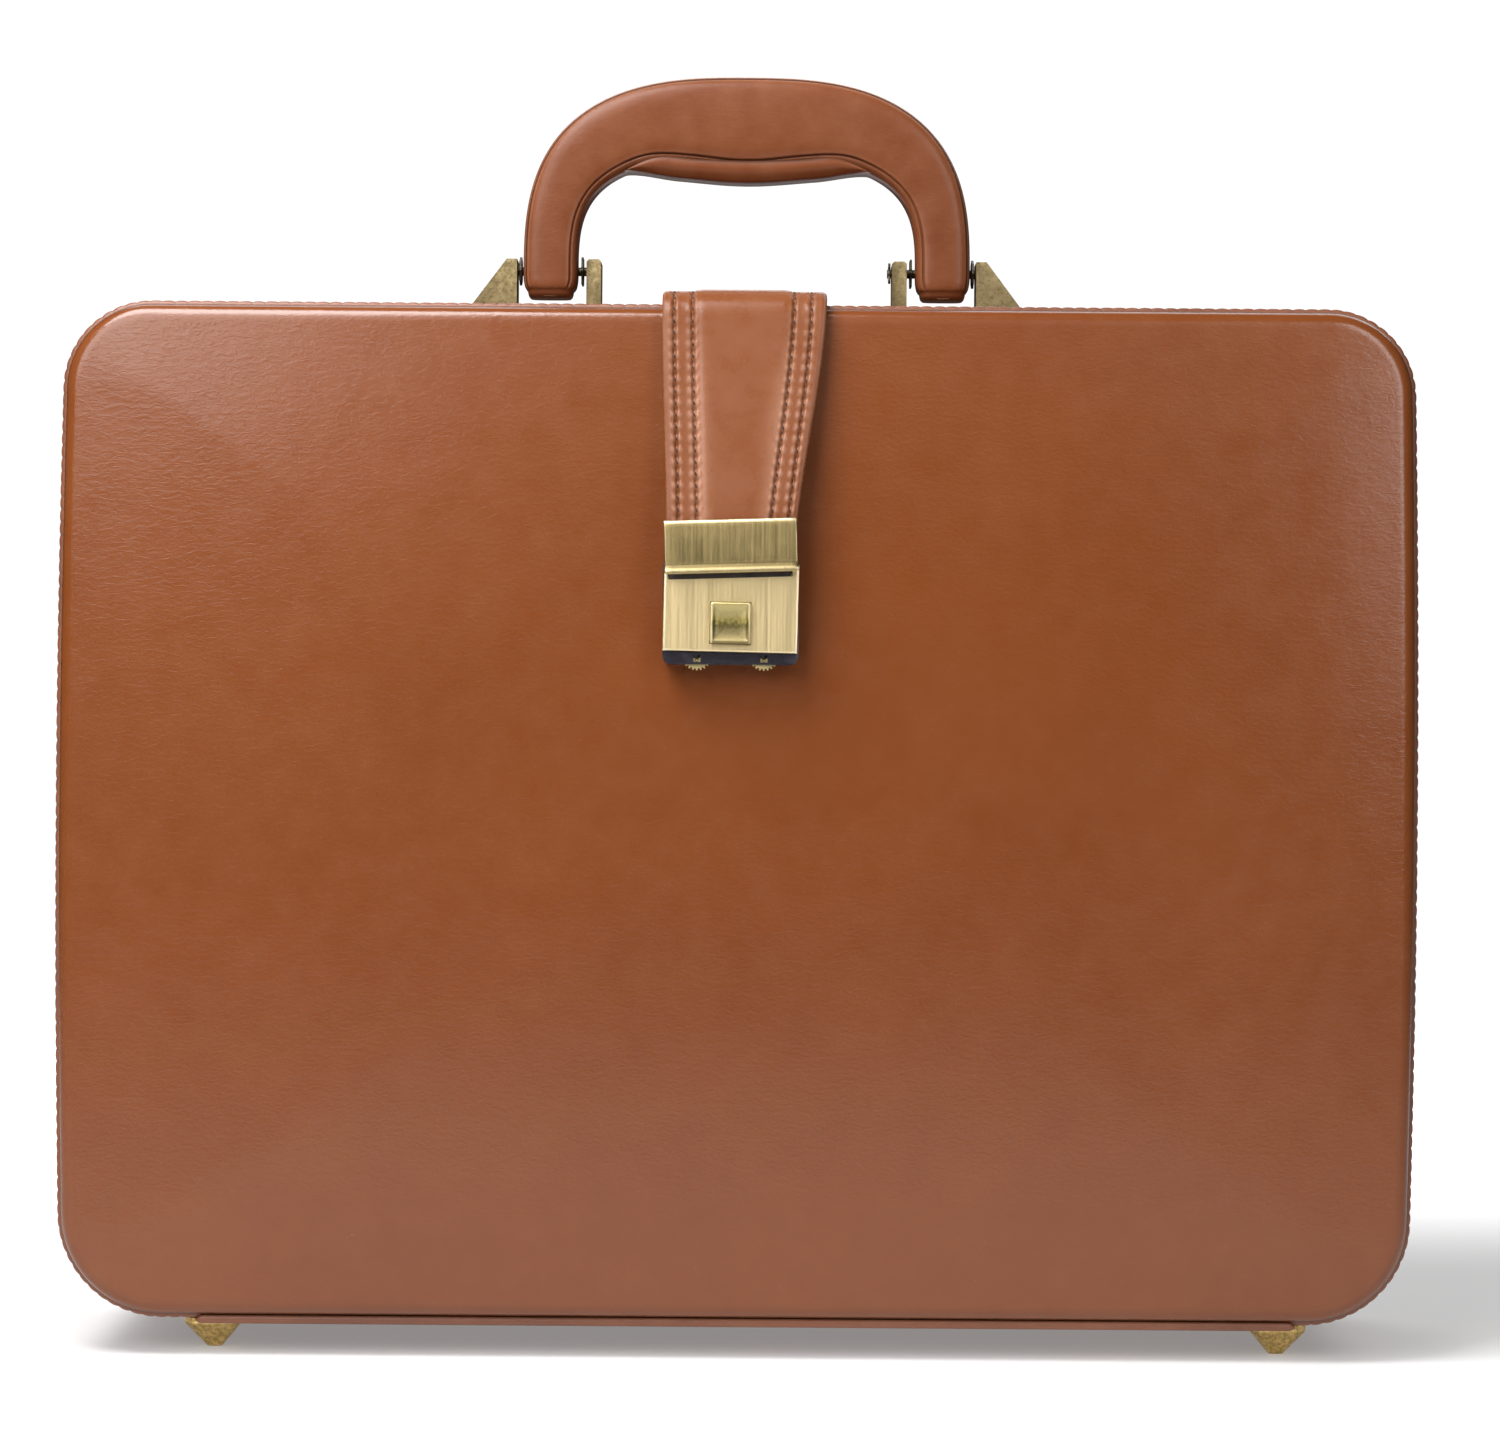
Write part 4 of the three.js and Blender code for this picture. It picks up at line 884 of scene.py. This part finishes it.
def strap_leather():
    """One leather strap from its tail on the rear lid round the edge to the lock, bent between the
    lid and the flap, with its thread laid in the channels."""
    s = STRAP_S[:, None]
    left, right = strap_sides(s)
    rows = strap_rows(s)
    lanes = [np.zeros_like(s) + left]
    stops = [left, *rows, right]
    cells = [14, 18, 44, 18, 14]
    for a, b, n in zip(stops[:-1], stops[1:], cells):
        t = np.linspace(0, 1, n + 1)[1:]
        t = t - 0.75 * np.sin(2 * np.pi * t) / (2 * np.pi)
        lanes.append(a + (b - a) * t[None])
    x = np.concatenate(lanes, 1)
    s_all = np.broadcast_to(s, x.shape)
    top = strap_point(s_all, x, strap_height(s_all, x))
    under_x = left + (right - left) * np.linspace(0.985, 0.015, 12)[None]
    s_under = np.broadcast_to(s, under_x.shape)
    edge = np.minimum(under_x - left, right - under_x)
    under = strap_point(s_under, under_x, -1.75 * rounded(edge / 1.1, 2.5))
    points = np.concatenate([top, under], 1)
    down = smooth(s_all, STRAP_EDGE - 6, STRAP_EDGE + 45)
    phase = 2 * np.pi * s_all / STRAP_PITCH
    pulled = 0.5 + 0.5 * np.cos(phase)
    # Painted shade at the stitch holes and in the fold line near each edge; painted highlights on the puckers
    # beside the rows, on the padded middle's shoulders lower down, and along the edges.
    crease, rub = np.zeros_like(x), np.zeros_like(x)
    for row in rows:
        off = x - row
        crease += (0.05 + 0.66 * pulled * pulled) * hump(off + 0.35 * np.sin(phase), 0.55)
        rub += hump(np.abs(off) - 1.05, 0.65) * (0.04 + 0.52 * down * (1 - 0.9 * pulled))
    inner_edge = hump(np.minimum(x - rows[1], rows[2] - x) - 1.8, 2.6)
    rub += 0.42 * down * down * inner_edge
    edge = np.minimum(x - left, right - x)
    crease += 0.40 * hump(edge - 1.2, 0.2)
    rub += 0.30 * hump(edge - 0.5, 0.4) + 0.06 * hump(edge - 1.9, 0.35)
    pad = np.zeros_like(under_x)
    marks = {"crease": crease, "rub": rub}
    marks = {k: np.concatenate([np.clip(m, 0, 1), pad], 1) for k, m in marks.items()}
    piece = skin("strap_leather", points, marks=marks)
    piece.data.materials.append(strap_finish)
    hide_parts("strap_bridge", "strap_flap")
    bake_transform(piece)
    centres, along, slant = [], [], 0.62
    spots = np.arange(round(5 / STRAP_PITCH) + 0.5, (STRAP_END - 9) / STRAP_PITCH) * STRAP_PITCH
    for k in range(4):
        x_row = strap_rows(spots)[k]
        lift = strap_height(spots, x_row) - 0.05
        centres.append(strap_point(spots, x_row, lift))
        ahead = strap_point(spots + 0.9, strap_rows(spots + 0.9)[k] + slant, lift)
        behind = strap_point(spots - 0.9, strap_rows(spots - 0.9)[k] - slant, lift)
        along.append(ahead - behind)
    centres, along = np.concatenate(centres), np.concatenate(along)
    across = np.tile(ALONG_X, (len(centres), 1))
    stitches = threads("strap_stitches", centres, along, across, 2.6, 0.43, None)
    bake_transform(stitches)


strap_leather()

# ---------------------------------------------------------------- lock


def turned(points, middle, degrees):
    """Points turned in the plane of x and z about a middle, anticlockwise from the front."""
    a = math.radians(degrees)
    x, z = points[..., 0] - middle[0], points[..., 2] - middle[1]
    out = points.copy()
    out[..., 0] = middle[0] + x * math.cos(a) - z * math.sin(a)
    out[..., 2] = middle[1] + x * math.sin(a) + z * math.cos(a)
    return out


def drawn_bar(name, x_range, section, bevel, marks=None, turn=0.0):
    """A section in y and z carried along x, drawn in by bevel at both ends over a quarter circle."""
    section = np.asarray(section, float)
    x0, x1 = x_range
    q = np.linspace(0, np.pi / 2, 5)
    end = bevel * (1 - np.sin(q))
    x = np.sort(np.concatenate([x0 + end, np.linspace(x0 + bevel, x1 - bevel, 24)[1:-1], x1 - end]))
    near = np.minimum(x - x0, x1 - x)
    draw = bevel * (1 - np.sqrt(np.clip(1 - (1 - np.clip(near / bevel, 0, 1)) ** 2, 0, 1)))
    after, before = np.roll(section, -1, 0), np.roll(section, 1, 0)
    side = unit(after - before)
    area = (section[:, 0] * after[:, 1] - after[:, 0] * section[:, 1]).sum()
    inward = np.stack([-side[:, 1], side[:, 0]], 1) * np.sign(area)
    loops = section + inward * draw[:, None, None] * 0.8
    middle = ((x0 + x1) / 2, section[:, 1].mean())
    made = {k: np.broadcast_to(v, loops.shape[:2]) for k, v in (marks or {}).items()}
    # The drawn-in ends are brightened by painted highlight, with a little wear.
    worn = np.broadcast_to(np.where(near < bevel * 0.8, 0.45, 0.0)[:, None], loops.shape[:2])
    made["rub"] = np.clip(made.get("rub", 0) + worn, 0, 1)
    return skin(name, turned(along_x(x, loops), middle, turn), marks=made, crease_angle=50)


def hasp_plate():
    """The hasp's plate: rounded top edge, flat face, and a lower lip that curls forward."""
    section = [
        (-79.2, 257.4), (-79.2, 262.0), (-79.2, 268.0), (-79.2, 272.0), (-79.35, 272.55), (-79.7, 272.85), (-80.15, 272.75),
        (-80.5, 272.3), (-80.62, 271.5), (-80.66, 270.5), (-80.66, 266.0), (-80.62, 261.5), (-80.55, 259.6), (-80.5, 258.6),
        (-80.75, 258.1), (-81.2, 257.5), (-81.55, 256.8), (-81.7, 256.1), (-81.5, 255.6), (-81.0, 255.5), (-80.3, 256.0),
        (-79.6, 256.7),
    ]
    z = np.array([p[1] for p in section])
    y = np.array([p[0] for p in section])
    # Painted highlight along the top edge and on the lip; painted shade just above the lip.
    rub = 0.6 * ((z > 272.2) & (y < -79.5)) + 0.15 * ((z < 256.9) & (y < -80.7) & (z > 255.9))
    crease = 0.85 * ((z > 257.2) & (z < 259.0) & (y < -80))
    piece = drawn_bar("hasp_plate_brass", (LOCK_X - 21.4, LOCK_X + 21.4), section, 0.55, {"rub": rub, "crease": crease}, 1.9)
    return finish_piece(piece, "strap", hasp_brass, ("hasp_plate",))


hasp_plate()

# A dark strip on the face plate standing for the shadow in the gap under the hasp's lip: a painted shadow.
slot_shadow_section = [(-76.3, 254.1), (-76.3, 256.6), (-76.62, 256.8), (-76.72, 255.4), (-76.62, 254.0)]
slot_shadow = drawn_bar("hasp_slot_shadow", (LOCK_X - 20.4, LOCK_X + 19.8), slot_shadow_section, 0.9, None, 1.9)
finish_piece(slot_shadow, "case", slot_shadow_finish)


def face_plate():
    """The lock's face plate with its bevelled side edges brightened by painted highlight, with a little wear, and
    a window for the button.
    """
    z0, z1 = 230.1, 258.8
    x0, x1 = LOCK_X - 21.8, LOCK_X + 21.8
    bx, bz = BUTTON_WIDTH / 2 + 0.07, BUTTON_HEIGHT / 2 + 0.07
    middle = np.array([LOCK_X, (z0 + z1) / 2])
    half = np.array([(x1 - x0) / 2, (z1 - z0) / 2])
    outer = rounded_loop(middle, *half, 0.5, 16)
    window = rounded_loop((LOCK_X, BUTTON_Z), bx, bz, 0.4, 16)
    # Each step: inset, y, and how much painted highlight, with a little wear, brightens the brass there.
    steps = [
        (0.0, -75.3, 0.1), (0.0, -76.0, 0.6), (0.25, -76.38, 1.0), (0.75, -76.5, 0.9), (1.1, -76.5, 0.0),
    ]
    loops = []
    for inset, y, _ in steps:
        first = middle + (outer - middle) * (1 - inset / half)
        loops.append(upright(first, y))
    for share in np.linspace(0, 1, 9)[1:]:
        loops.append(upright(first + (window - first) * share, -76.5))
    loops.append(upright(window, -75.3))
    points = np.stack(loops)
    rub = np.zeros(points.shape[:2])
    for k, (_, _, amount) in enumerate(steps):
        rub[k] = amount
    side = np.abs(points[..., 0] - LOCK_X) > 20.4
    rub = rub * np.where(side, 1.0, 0.35)
    points = turned(points, (LOCK_X, 242.0), -1.0)
    piece = skin("face_plate_brass", points, rows_meet=True, marks={"rub": rub}, crease_angle=40)
    return finish_piece(piece, "case", face_brass, ("lock_face_plate",))


def rounded_loop(middle, half_x, half_z, radius, side_points):
    """A rectangle with rounded corners as a loop from its right side up, the same count on each side."""
    parts = []
    for k, (sx, sz) in enumerate(((1, -1), (1, 1), (-1, 1), (-1, -1))):
        turn = np.radians(np.linspace(-90, 0, 6) + 90 * k)
        corner = np.array([middle[0] + sx * (half_x - radius), middle[1] + sz * (half_z - radius)])
        arc = corner + radius * np.stack([np.cos(turn), np.sin(turn)], 1)
        nx, nz = ((1, 1), (-1, 1), (-1, -1), (1, -1))[k]
        after = np.array([middle[0] + nx * (half_x - radius), middle[1] + nz * (half_z - radius)])
        turn_end = np.radians(90.0 * k)
        start = after + radius * np.array([np.cos(turn_end), np.sin(turn_end)])
        t = np.linspace(0, 1, side_points + 2)[1:-1, None]
        parts += [arc, arc[-1] + (start - arc[-1]) * t]
    return np.concatenate(parts)


face_plate()


def button():
    """The thumb button: a rounded square block whose front is hollowed from top to bottom by
    0.55 * (1 - t^2), so that its two sides stand as thin rims."""
    shell = [
        (0.0, -73.9), (0.0, -77.9), (0.1, -78.5), (0.45, -78.85), (0.95, -78.9), (1.3, -78.75),
        (2.0, -78.6), (3.4, -78.5), (5.0, -78.45),
    ]
    loops = []
    for inset, y in shell:
        half_x, half_z = BUTTON_WIDTH / 2 - inset, BUTTON_HEIGHT / 2 - inset
        xz = rounded_loop((LOCK_X, BUTTON_Z), half_x, half_z, max(0.9 - inset * 0.5, 0.3), 10)
        t = np.clip((xz[:, 1] - BUTTON_Z) / 6.8, -1, 1)
        hollow = 0.55 * smooth(inset, 0.5, 2.2) * (1 - t * t)
        loops.append(upright(xz, y + hollow))
    points = np.stack(loops)
    piece = skin("thumb_button_brass", turned(points, (LOCK_X, BUTTON_Z), -0.8), crease_angle=55)
    return finish_piece(piece, "button", button_finish_with_painted_light(), ("thumb_button",))


def button_finish_with_painted_light():
    """Cast brass, mottled, with painted light: gold above and olive brown below, as if lit from above, and a
    painted highlight along its side rims.
    """
    f = Finish("thumb button brass with painted light")
    x, _, z = (f.node("ShaderNodeSeparateXYZ", None, {"Vector": f.place}, axis) for axis in ("X", "Y", "Z"))
    mottle = f.noise(900.0, 4.0, 0.65)
    # Painted light: brighter higher up the button.
    painted_light_level = (z - BUTTON_Z * 0.001) * 150.0 + (mottle - 0.5) * 0.9
    tone = f.ramp(
        f.spread(painted_light_level, -0.55, 0.6),
        (0.0, (0.22, 0.175, 0.08)), (0.35, (0.12, 0.095, 0.035)),
        (0.62, (0.33, 0.265, 0.08)), (1.0, (0.44, 0.36, 0.16)),
    )
    # Painted highlight along the two side rims.
    side = x - LOCK_X * 0.001
    rim = f.spread(side.math("ABSOLUTE", side), 0.0056, 0.0064)
    tone = f.mix(rim * 0.8, tone, (0.95, 0.82, 0.50))
    f.set(Base_Color=tone, Metallic=1.0, Roughness=(0.30 + 0.25 * mottle).clamped())
    f.set(Normal=f.relief(mottle, 0.00006))
    return f.material


button()

spring = softened("latch_spring", "case", dark_steel, 0.02, "latch_spring_steel", 1)
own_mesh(spring)


def digit_ring(name, x, body):
    """A raised figure 0 on a dial's face: a flattened ring."""
    turn, around = full_turn(28), full_turn(8)
    wide = 0.40 + 0.12 * np.cos(around)
    tall = 0.42 + 0.12 * np.cos(around)
    points = np.stack([
        x + wide[:, None] * np.cos(turn),
        np.broadcast_to(DIAL_FACE_Y + 0.06 * np.sin(around)[:, None], (8, 28)),
        DIAL_Z - 1.93 + tall[:, None] * np.sin(turn),
    ], -1)
    piece = skin(name, points, rows_meet=True)
    return finish_piece(piece, body, dark_steel)


softened("lock_case", "case", gunmetal, 0.35, "lock_case_gunmetal")


def dial(name, x, body):
    """A toothed dial: a bored disc whose rim steps between 4.5 and 5.12 mm, 24 times round."""
    teeth, bore = 24, 1.5
    turn = full_turn(teeth * 10)
    rim = 4.5 + 0.62 * smooth(np.cos(teeth * turn), -0.35, 0.35)
    steps = [
        (-71.2, 0.0), (-71.2, 0.97), (-71.35, 1.0), (-73.45, 1.0), (DIAL_FACE_Y, 0.97),
        (DIAL_FACE_Y, 0.55), (DIAL_FACE_Y, 0.0),
    ]
    loops = []
    for y, share in steps:
        r = bore + (rim - bore) * share
        loops.append(upright(np.stack([x + r * np.sin(turn), DIAL_Z - r * np.cos(turn)], -1), y))
    piece = skin(name, np.stack(loops), rows_meet=True, crease_angle=35)
    return finish_piece(piece, body, dial_brass, (body,))


dial("dial_left_brass", LOCK_X - DIAL_OFFSET_X, "dial_left")
dial("dial_right_brass", LOCK_X + DIAL_OFFSET_X, "dial_right")
digit_ring("dial_left_figure", LOCK_X - DIAL_OFFSET_X, "dial_left")
digit_ring("dial_right_figure", LOCK_X + DIAL_OFFSET_X, "dial_right")

# ---------------------------------------------------------------- brackets, pins, feet

for side, way in (("left", -1), ("right", 1)):
    softened("bracket_" + side, "rear_lid", bracket_brass, 0.55, "bracket_%s_brass" % side)


def star_ring(name, x_range, radius, teeth, tooth, node):
    """A thin spring ring on a pin, its rim cut into teeth: r = radius + tooth * (2 |cos(teeth a / 2)|^6 - 1)."""
    x0, x1 = x_range
    turn = full_turn(96)
    wave = np.abs(np.cos(teeth * turn / 2)) ** 6
    rim = radius - tooth + tooth * 2 * wave
    loops = []
    for x, share in ((x1, 0), (x0, 0), (x0, 0.9), (x0 + 0.15, 1.0), (x1 - 0.15, 1.0), (x1, 0.9)):
        r = 1.8 + (rim - 1.8) * share
        loops.append(np.stack([np.full(96, x), PIN_Y + r * np.cos(turn), PIN_Z + r * np.sin(turn)], -1))
    piece = skin(name, np.stack(loops), rows_meet=True, crease_angle=40)
    return finish_piece(piece, "rear_lid", dark_steel, (node,))


def on_leg(way, near, far):
    """A range along x on one side of the handle's middle, low end first."""
    return sorted((HANDLE_X + way * near, HANDLE_X + way * far))


for side, way in (("left", -1), ("right", 1)):
    star_ring("outer_ring_" + side, on_leg(way, 76.5, 77.4), 4.6, 8, 0.25, "outer_washer_" + side)
    star_ring("inner_ring_" + side, on_leg(way, 55.5, 56.3), 4.9, 6, 0.55, "inner_washer_" + side)
star_ring("pin_clip_ring", on_leg(1, 48.2, 49.0), 3.1, 3, 0.9, "pin_clip")

for node in ("foot_front_left", "foot_front_right", "foot_rear_left", "foot_rear_right"):
    softened(node, "case", foot_brass, 0.45, node + "_brass", 2)

# ---------------------------------------------------------------- lids, linings and the rest

softened("front_lid_cover", "front_lid", band_finish, 0.55, "front_lid_leather", 3)
softened("rear_lid_cover", "rear_lid", band_finish, 0.55, "rear_lid_leather", 3)
softened("strap_anchor", "rear_lid", bracket_brass, 0.4, "strap_anchor_brass")
softened("hasp_hook", "strap", hasp_brass, 0.25, "hasp_hook_brass")
softened("latch", "latch", steel, 0.2, "latch_steel")


def lid_stitches():
    """Rows of stitches round the lids' covers, 4 mm in from their edges."""
    groups = {"front_lid": (-44.0, -12.5), "rear_lid": (-4.6, 44.0)}
    for body, (y0, y1) in groups.items():
        x = np.arange(-182.0, 182.1, STITCH_PITCH)
        y = np.arange(y0 + STITCH_PITCH, y1 - 1, STITCH_PITCH)
        ends = [np.stack([x, np.full_like(x, v), np.full_like(x, 344.05)], -1) for v in (y0, y1)]
        sides = [np.stack([np.full_like(y, v), y, np.full_like(y, 344.05)], -1) for v in (-182.0, 182.0)]
        centres = np.concatenate(ends + sides)
        on_x, on_y = (2 * len(x), 1), (2 * len(y), 1)
        along = np.concatenate([np.tile(ALONG_X, on_x), np.tile(ALONG_Y, on_y)])
        across = np.concatenate([np.tile(ALONG_Y, on_x), np.tile(ALONG_X, on_y)])
        threads(body + "_stitches", centres, along, across, 3.0, 0.33, body)


lid_stitches()

for node, body in (
    ("front_lining", "case"), ("rear_lining", "case"), ("band_lining", "case"), ("divider", "case"),
    ("front_lid_lining", "front_lid"), ("rear_lid_lining", "rear_lid"),
):
    softened(node, body, lining_finish, 0.3, node + "_suede", 2)

CAD_FINISHES = {
    "board": (board_finish, ("front_board", "rear_board", "side_board_left", "side_board_right", "bottom_board",
                             "front_lid_board", "rear_lid_board")),
    "wood": (batten_finish, ("front_rim", "rear_rim", "handle_core")),
    "steel": (steel, ("front_case_leaf", "rear_case_leaf", "front_hinge_pin", "rear_hinge_pin", "front_lid_leaf",
                      "rear_lid_leaf", "front_lid_edge_bar", "lock_backing")),
    "pin": (dark_steel, ("handle_pin_left", "handle_pin_right")),
}
for finish, nodes in CAD_FINISHES.values():
    for node in nodes:
        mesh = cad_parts[node].data
        for slot in range(max(1, len(mesh.materials))):
            if slot < len(mesh.materials):
                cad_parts[node].material_slots[slot].material = finish
            else:
                mesh.materials.append(finish)

# ---------------------------------------------------------------- floor, light and camera


def soft_light(name, place, aim, width, height, power):
    """A rectangular light at a place in metres, turned to face the aim."""
    data = bpy.data.lights.new(name, "AREA")
    data.shape = "RECTANGLE"
    data.size, data.size_y = width, height
    data.energy = power
    light = bpy.data.objects.new(name, data)
    light.location = place
    light.rotation_mode = "QUATERNION"
    light.rotation_quaternion = (Vector(aim) - Vector(place)).to_track_quat("-Z", "Y")
    bpy.context.scene.collection.objects.link(light)


def floor():
    """A wide pale disc under the bag that glows, dimly near the bag and fully white farther back, lighting the bag
    from below.
    """
    turn = full_turn(96)
    middle = np.array([0.0, 0.18, -0.0002])
    ring = np.stack([np.cos(turn), np.sin(turn), 0 * turn], -1)
    points = middle + np.array([1.25, 1.0, 0.6, 0.3, 0.0])[:, None, None] * ring
    disc = mesh_piece("floor", points.reshape(-1, 3), quads(5, 96, False, True))
    f = Finish("pale floor")
    tone = f.mix(f.noise(3.0, 2.0) * 0.1, (0.62, 0.62, 0.62), (0.58, 0.58, 0.58))
    back = f.node("ShaderNodeSeparateXYZ", None, {"Vector": f.place}, "Y")
    glow = f.mix(f.spread(back, 0.16, 0.65), (0.24, 0.24, 0.24), (1.0, 1.0, 1.0))
    f.set(Base_Color=tone, Roughness=0.9, Specular_IOR_Level=0.1)
    f.set(Emission_Color=glow, Emission_Strength=1.0)
    disc.data.materials.append(f.material)


floor()

AIM = (0.0, -0.05, 0.18)
soft_light("left light", (-0.72, -1.35, 0.86), AIM, 0.95, 0.80, 14.5)
soft_light("right light", (0.70, -1.28, 0.74), AIM, 0.35, 0.95, 6.6)
soft_light("front light", (0.10, -1.5, 0.95), AIM, 1.3, 0.75, 1.4)
soft_light("top light", (-0.35, -0.45, 0.98), (-0.1, -0.05, 0.2), 0.60, 0.50, 15.0)
soft_light("rear light", (0.2, 1.2, 1.3), (0.0, 0.5, 0.0), 1.8, 1.2, 16.0)


def surroundings():
    """Pale walls: seen as plain white, and lighting the bag softly."""
    world = bpy.data.worlds.new("studio")
    bpy.context.scene.world = world
    world.use_nodes = True
    tree = world.node_tree
    tree.nodes.clear()
    seen, light = tree.nodes.new("ShaderNodeBackground"), tree.nodes.new("ShaderNodeBackground")
    seen.inputs["Strength"].default_value = 1.05
    light.inputs["Strength"].default_value = 0.05
    seen.inputs["Color"].default_value = light.inputs["Color"].default_value = (1, 1, 1, 1)
    path, both = tree.nodes.new("ShaderNodeLightPath"), tree.nodes.new("ShaderNodeMixShader")
    out = tree.nodes.new("ShaderNodeOutputWorld")
    tree.links.new(path.outputs["Is Camera Ray"], both.inputs[0])
    tree.links.new(light.outputs[0], both.inputs[1])
    tree.links.new(seen.outputs[0], both.inputs[2])
    tree.links.new(both.outputs[0], out.inputs["Surface"])


surroundings()
bpy.context.scene.view_settings.view_transform = "Standard"

camera_data = bpy.data.cameras.new("camera")
camera_data.sensor_width = 36.0
camera_data.lens = 95.56
camera_data.clip_start = 0.01
camera = bpy.data.objects.new("camera", camera_data)
camera.location = (0.0041, -1.3487, 0.2063)
camera.rotation_mode = "XYZ"
camera.rotation_euler = (math.radians(90), math.radians(-0.43), 0.0)
bpy.context.scene.collection.objects.link(camera)
bpy.context.scene.camera = camera

bpy.context.view_layer.update()
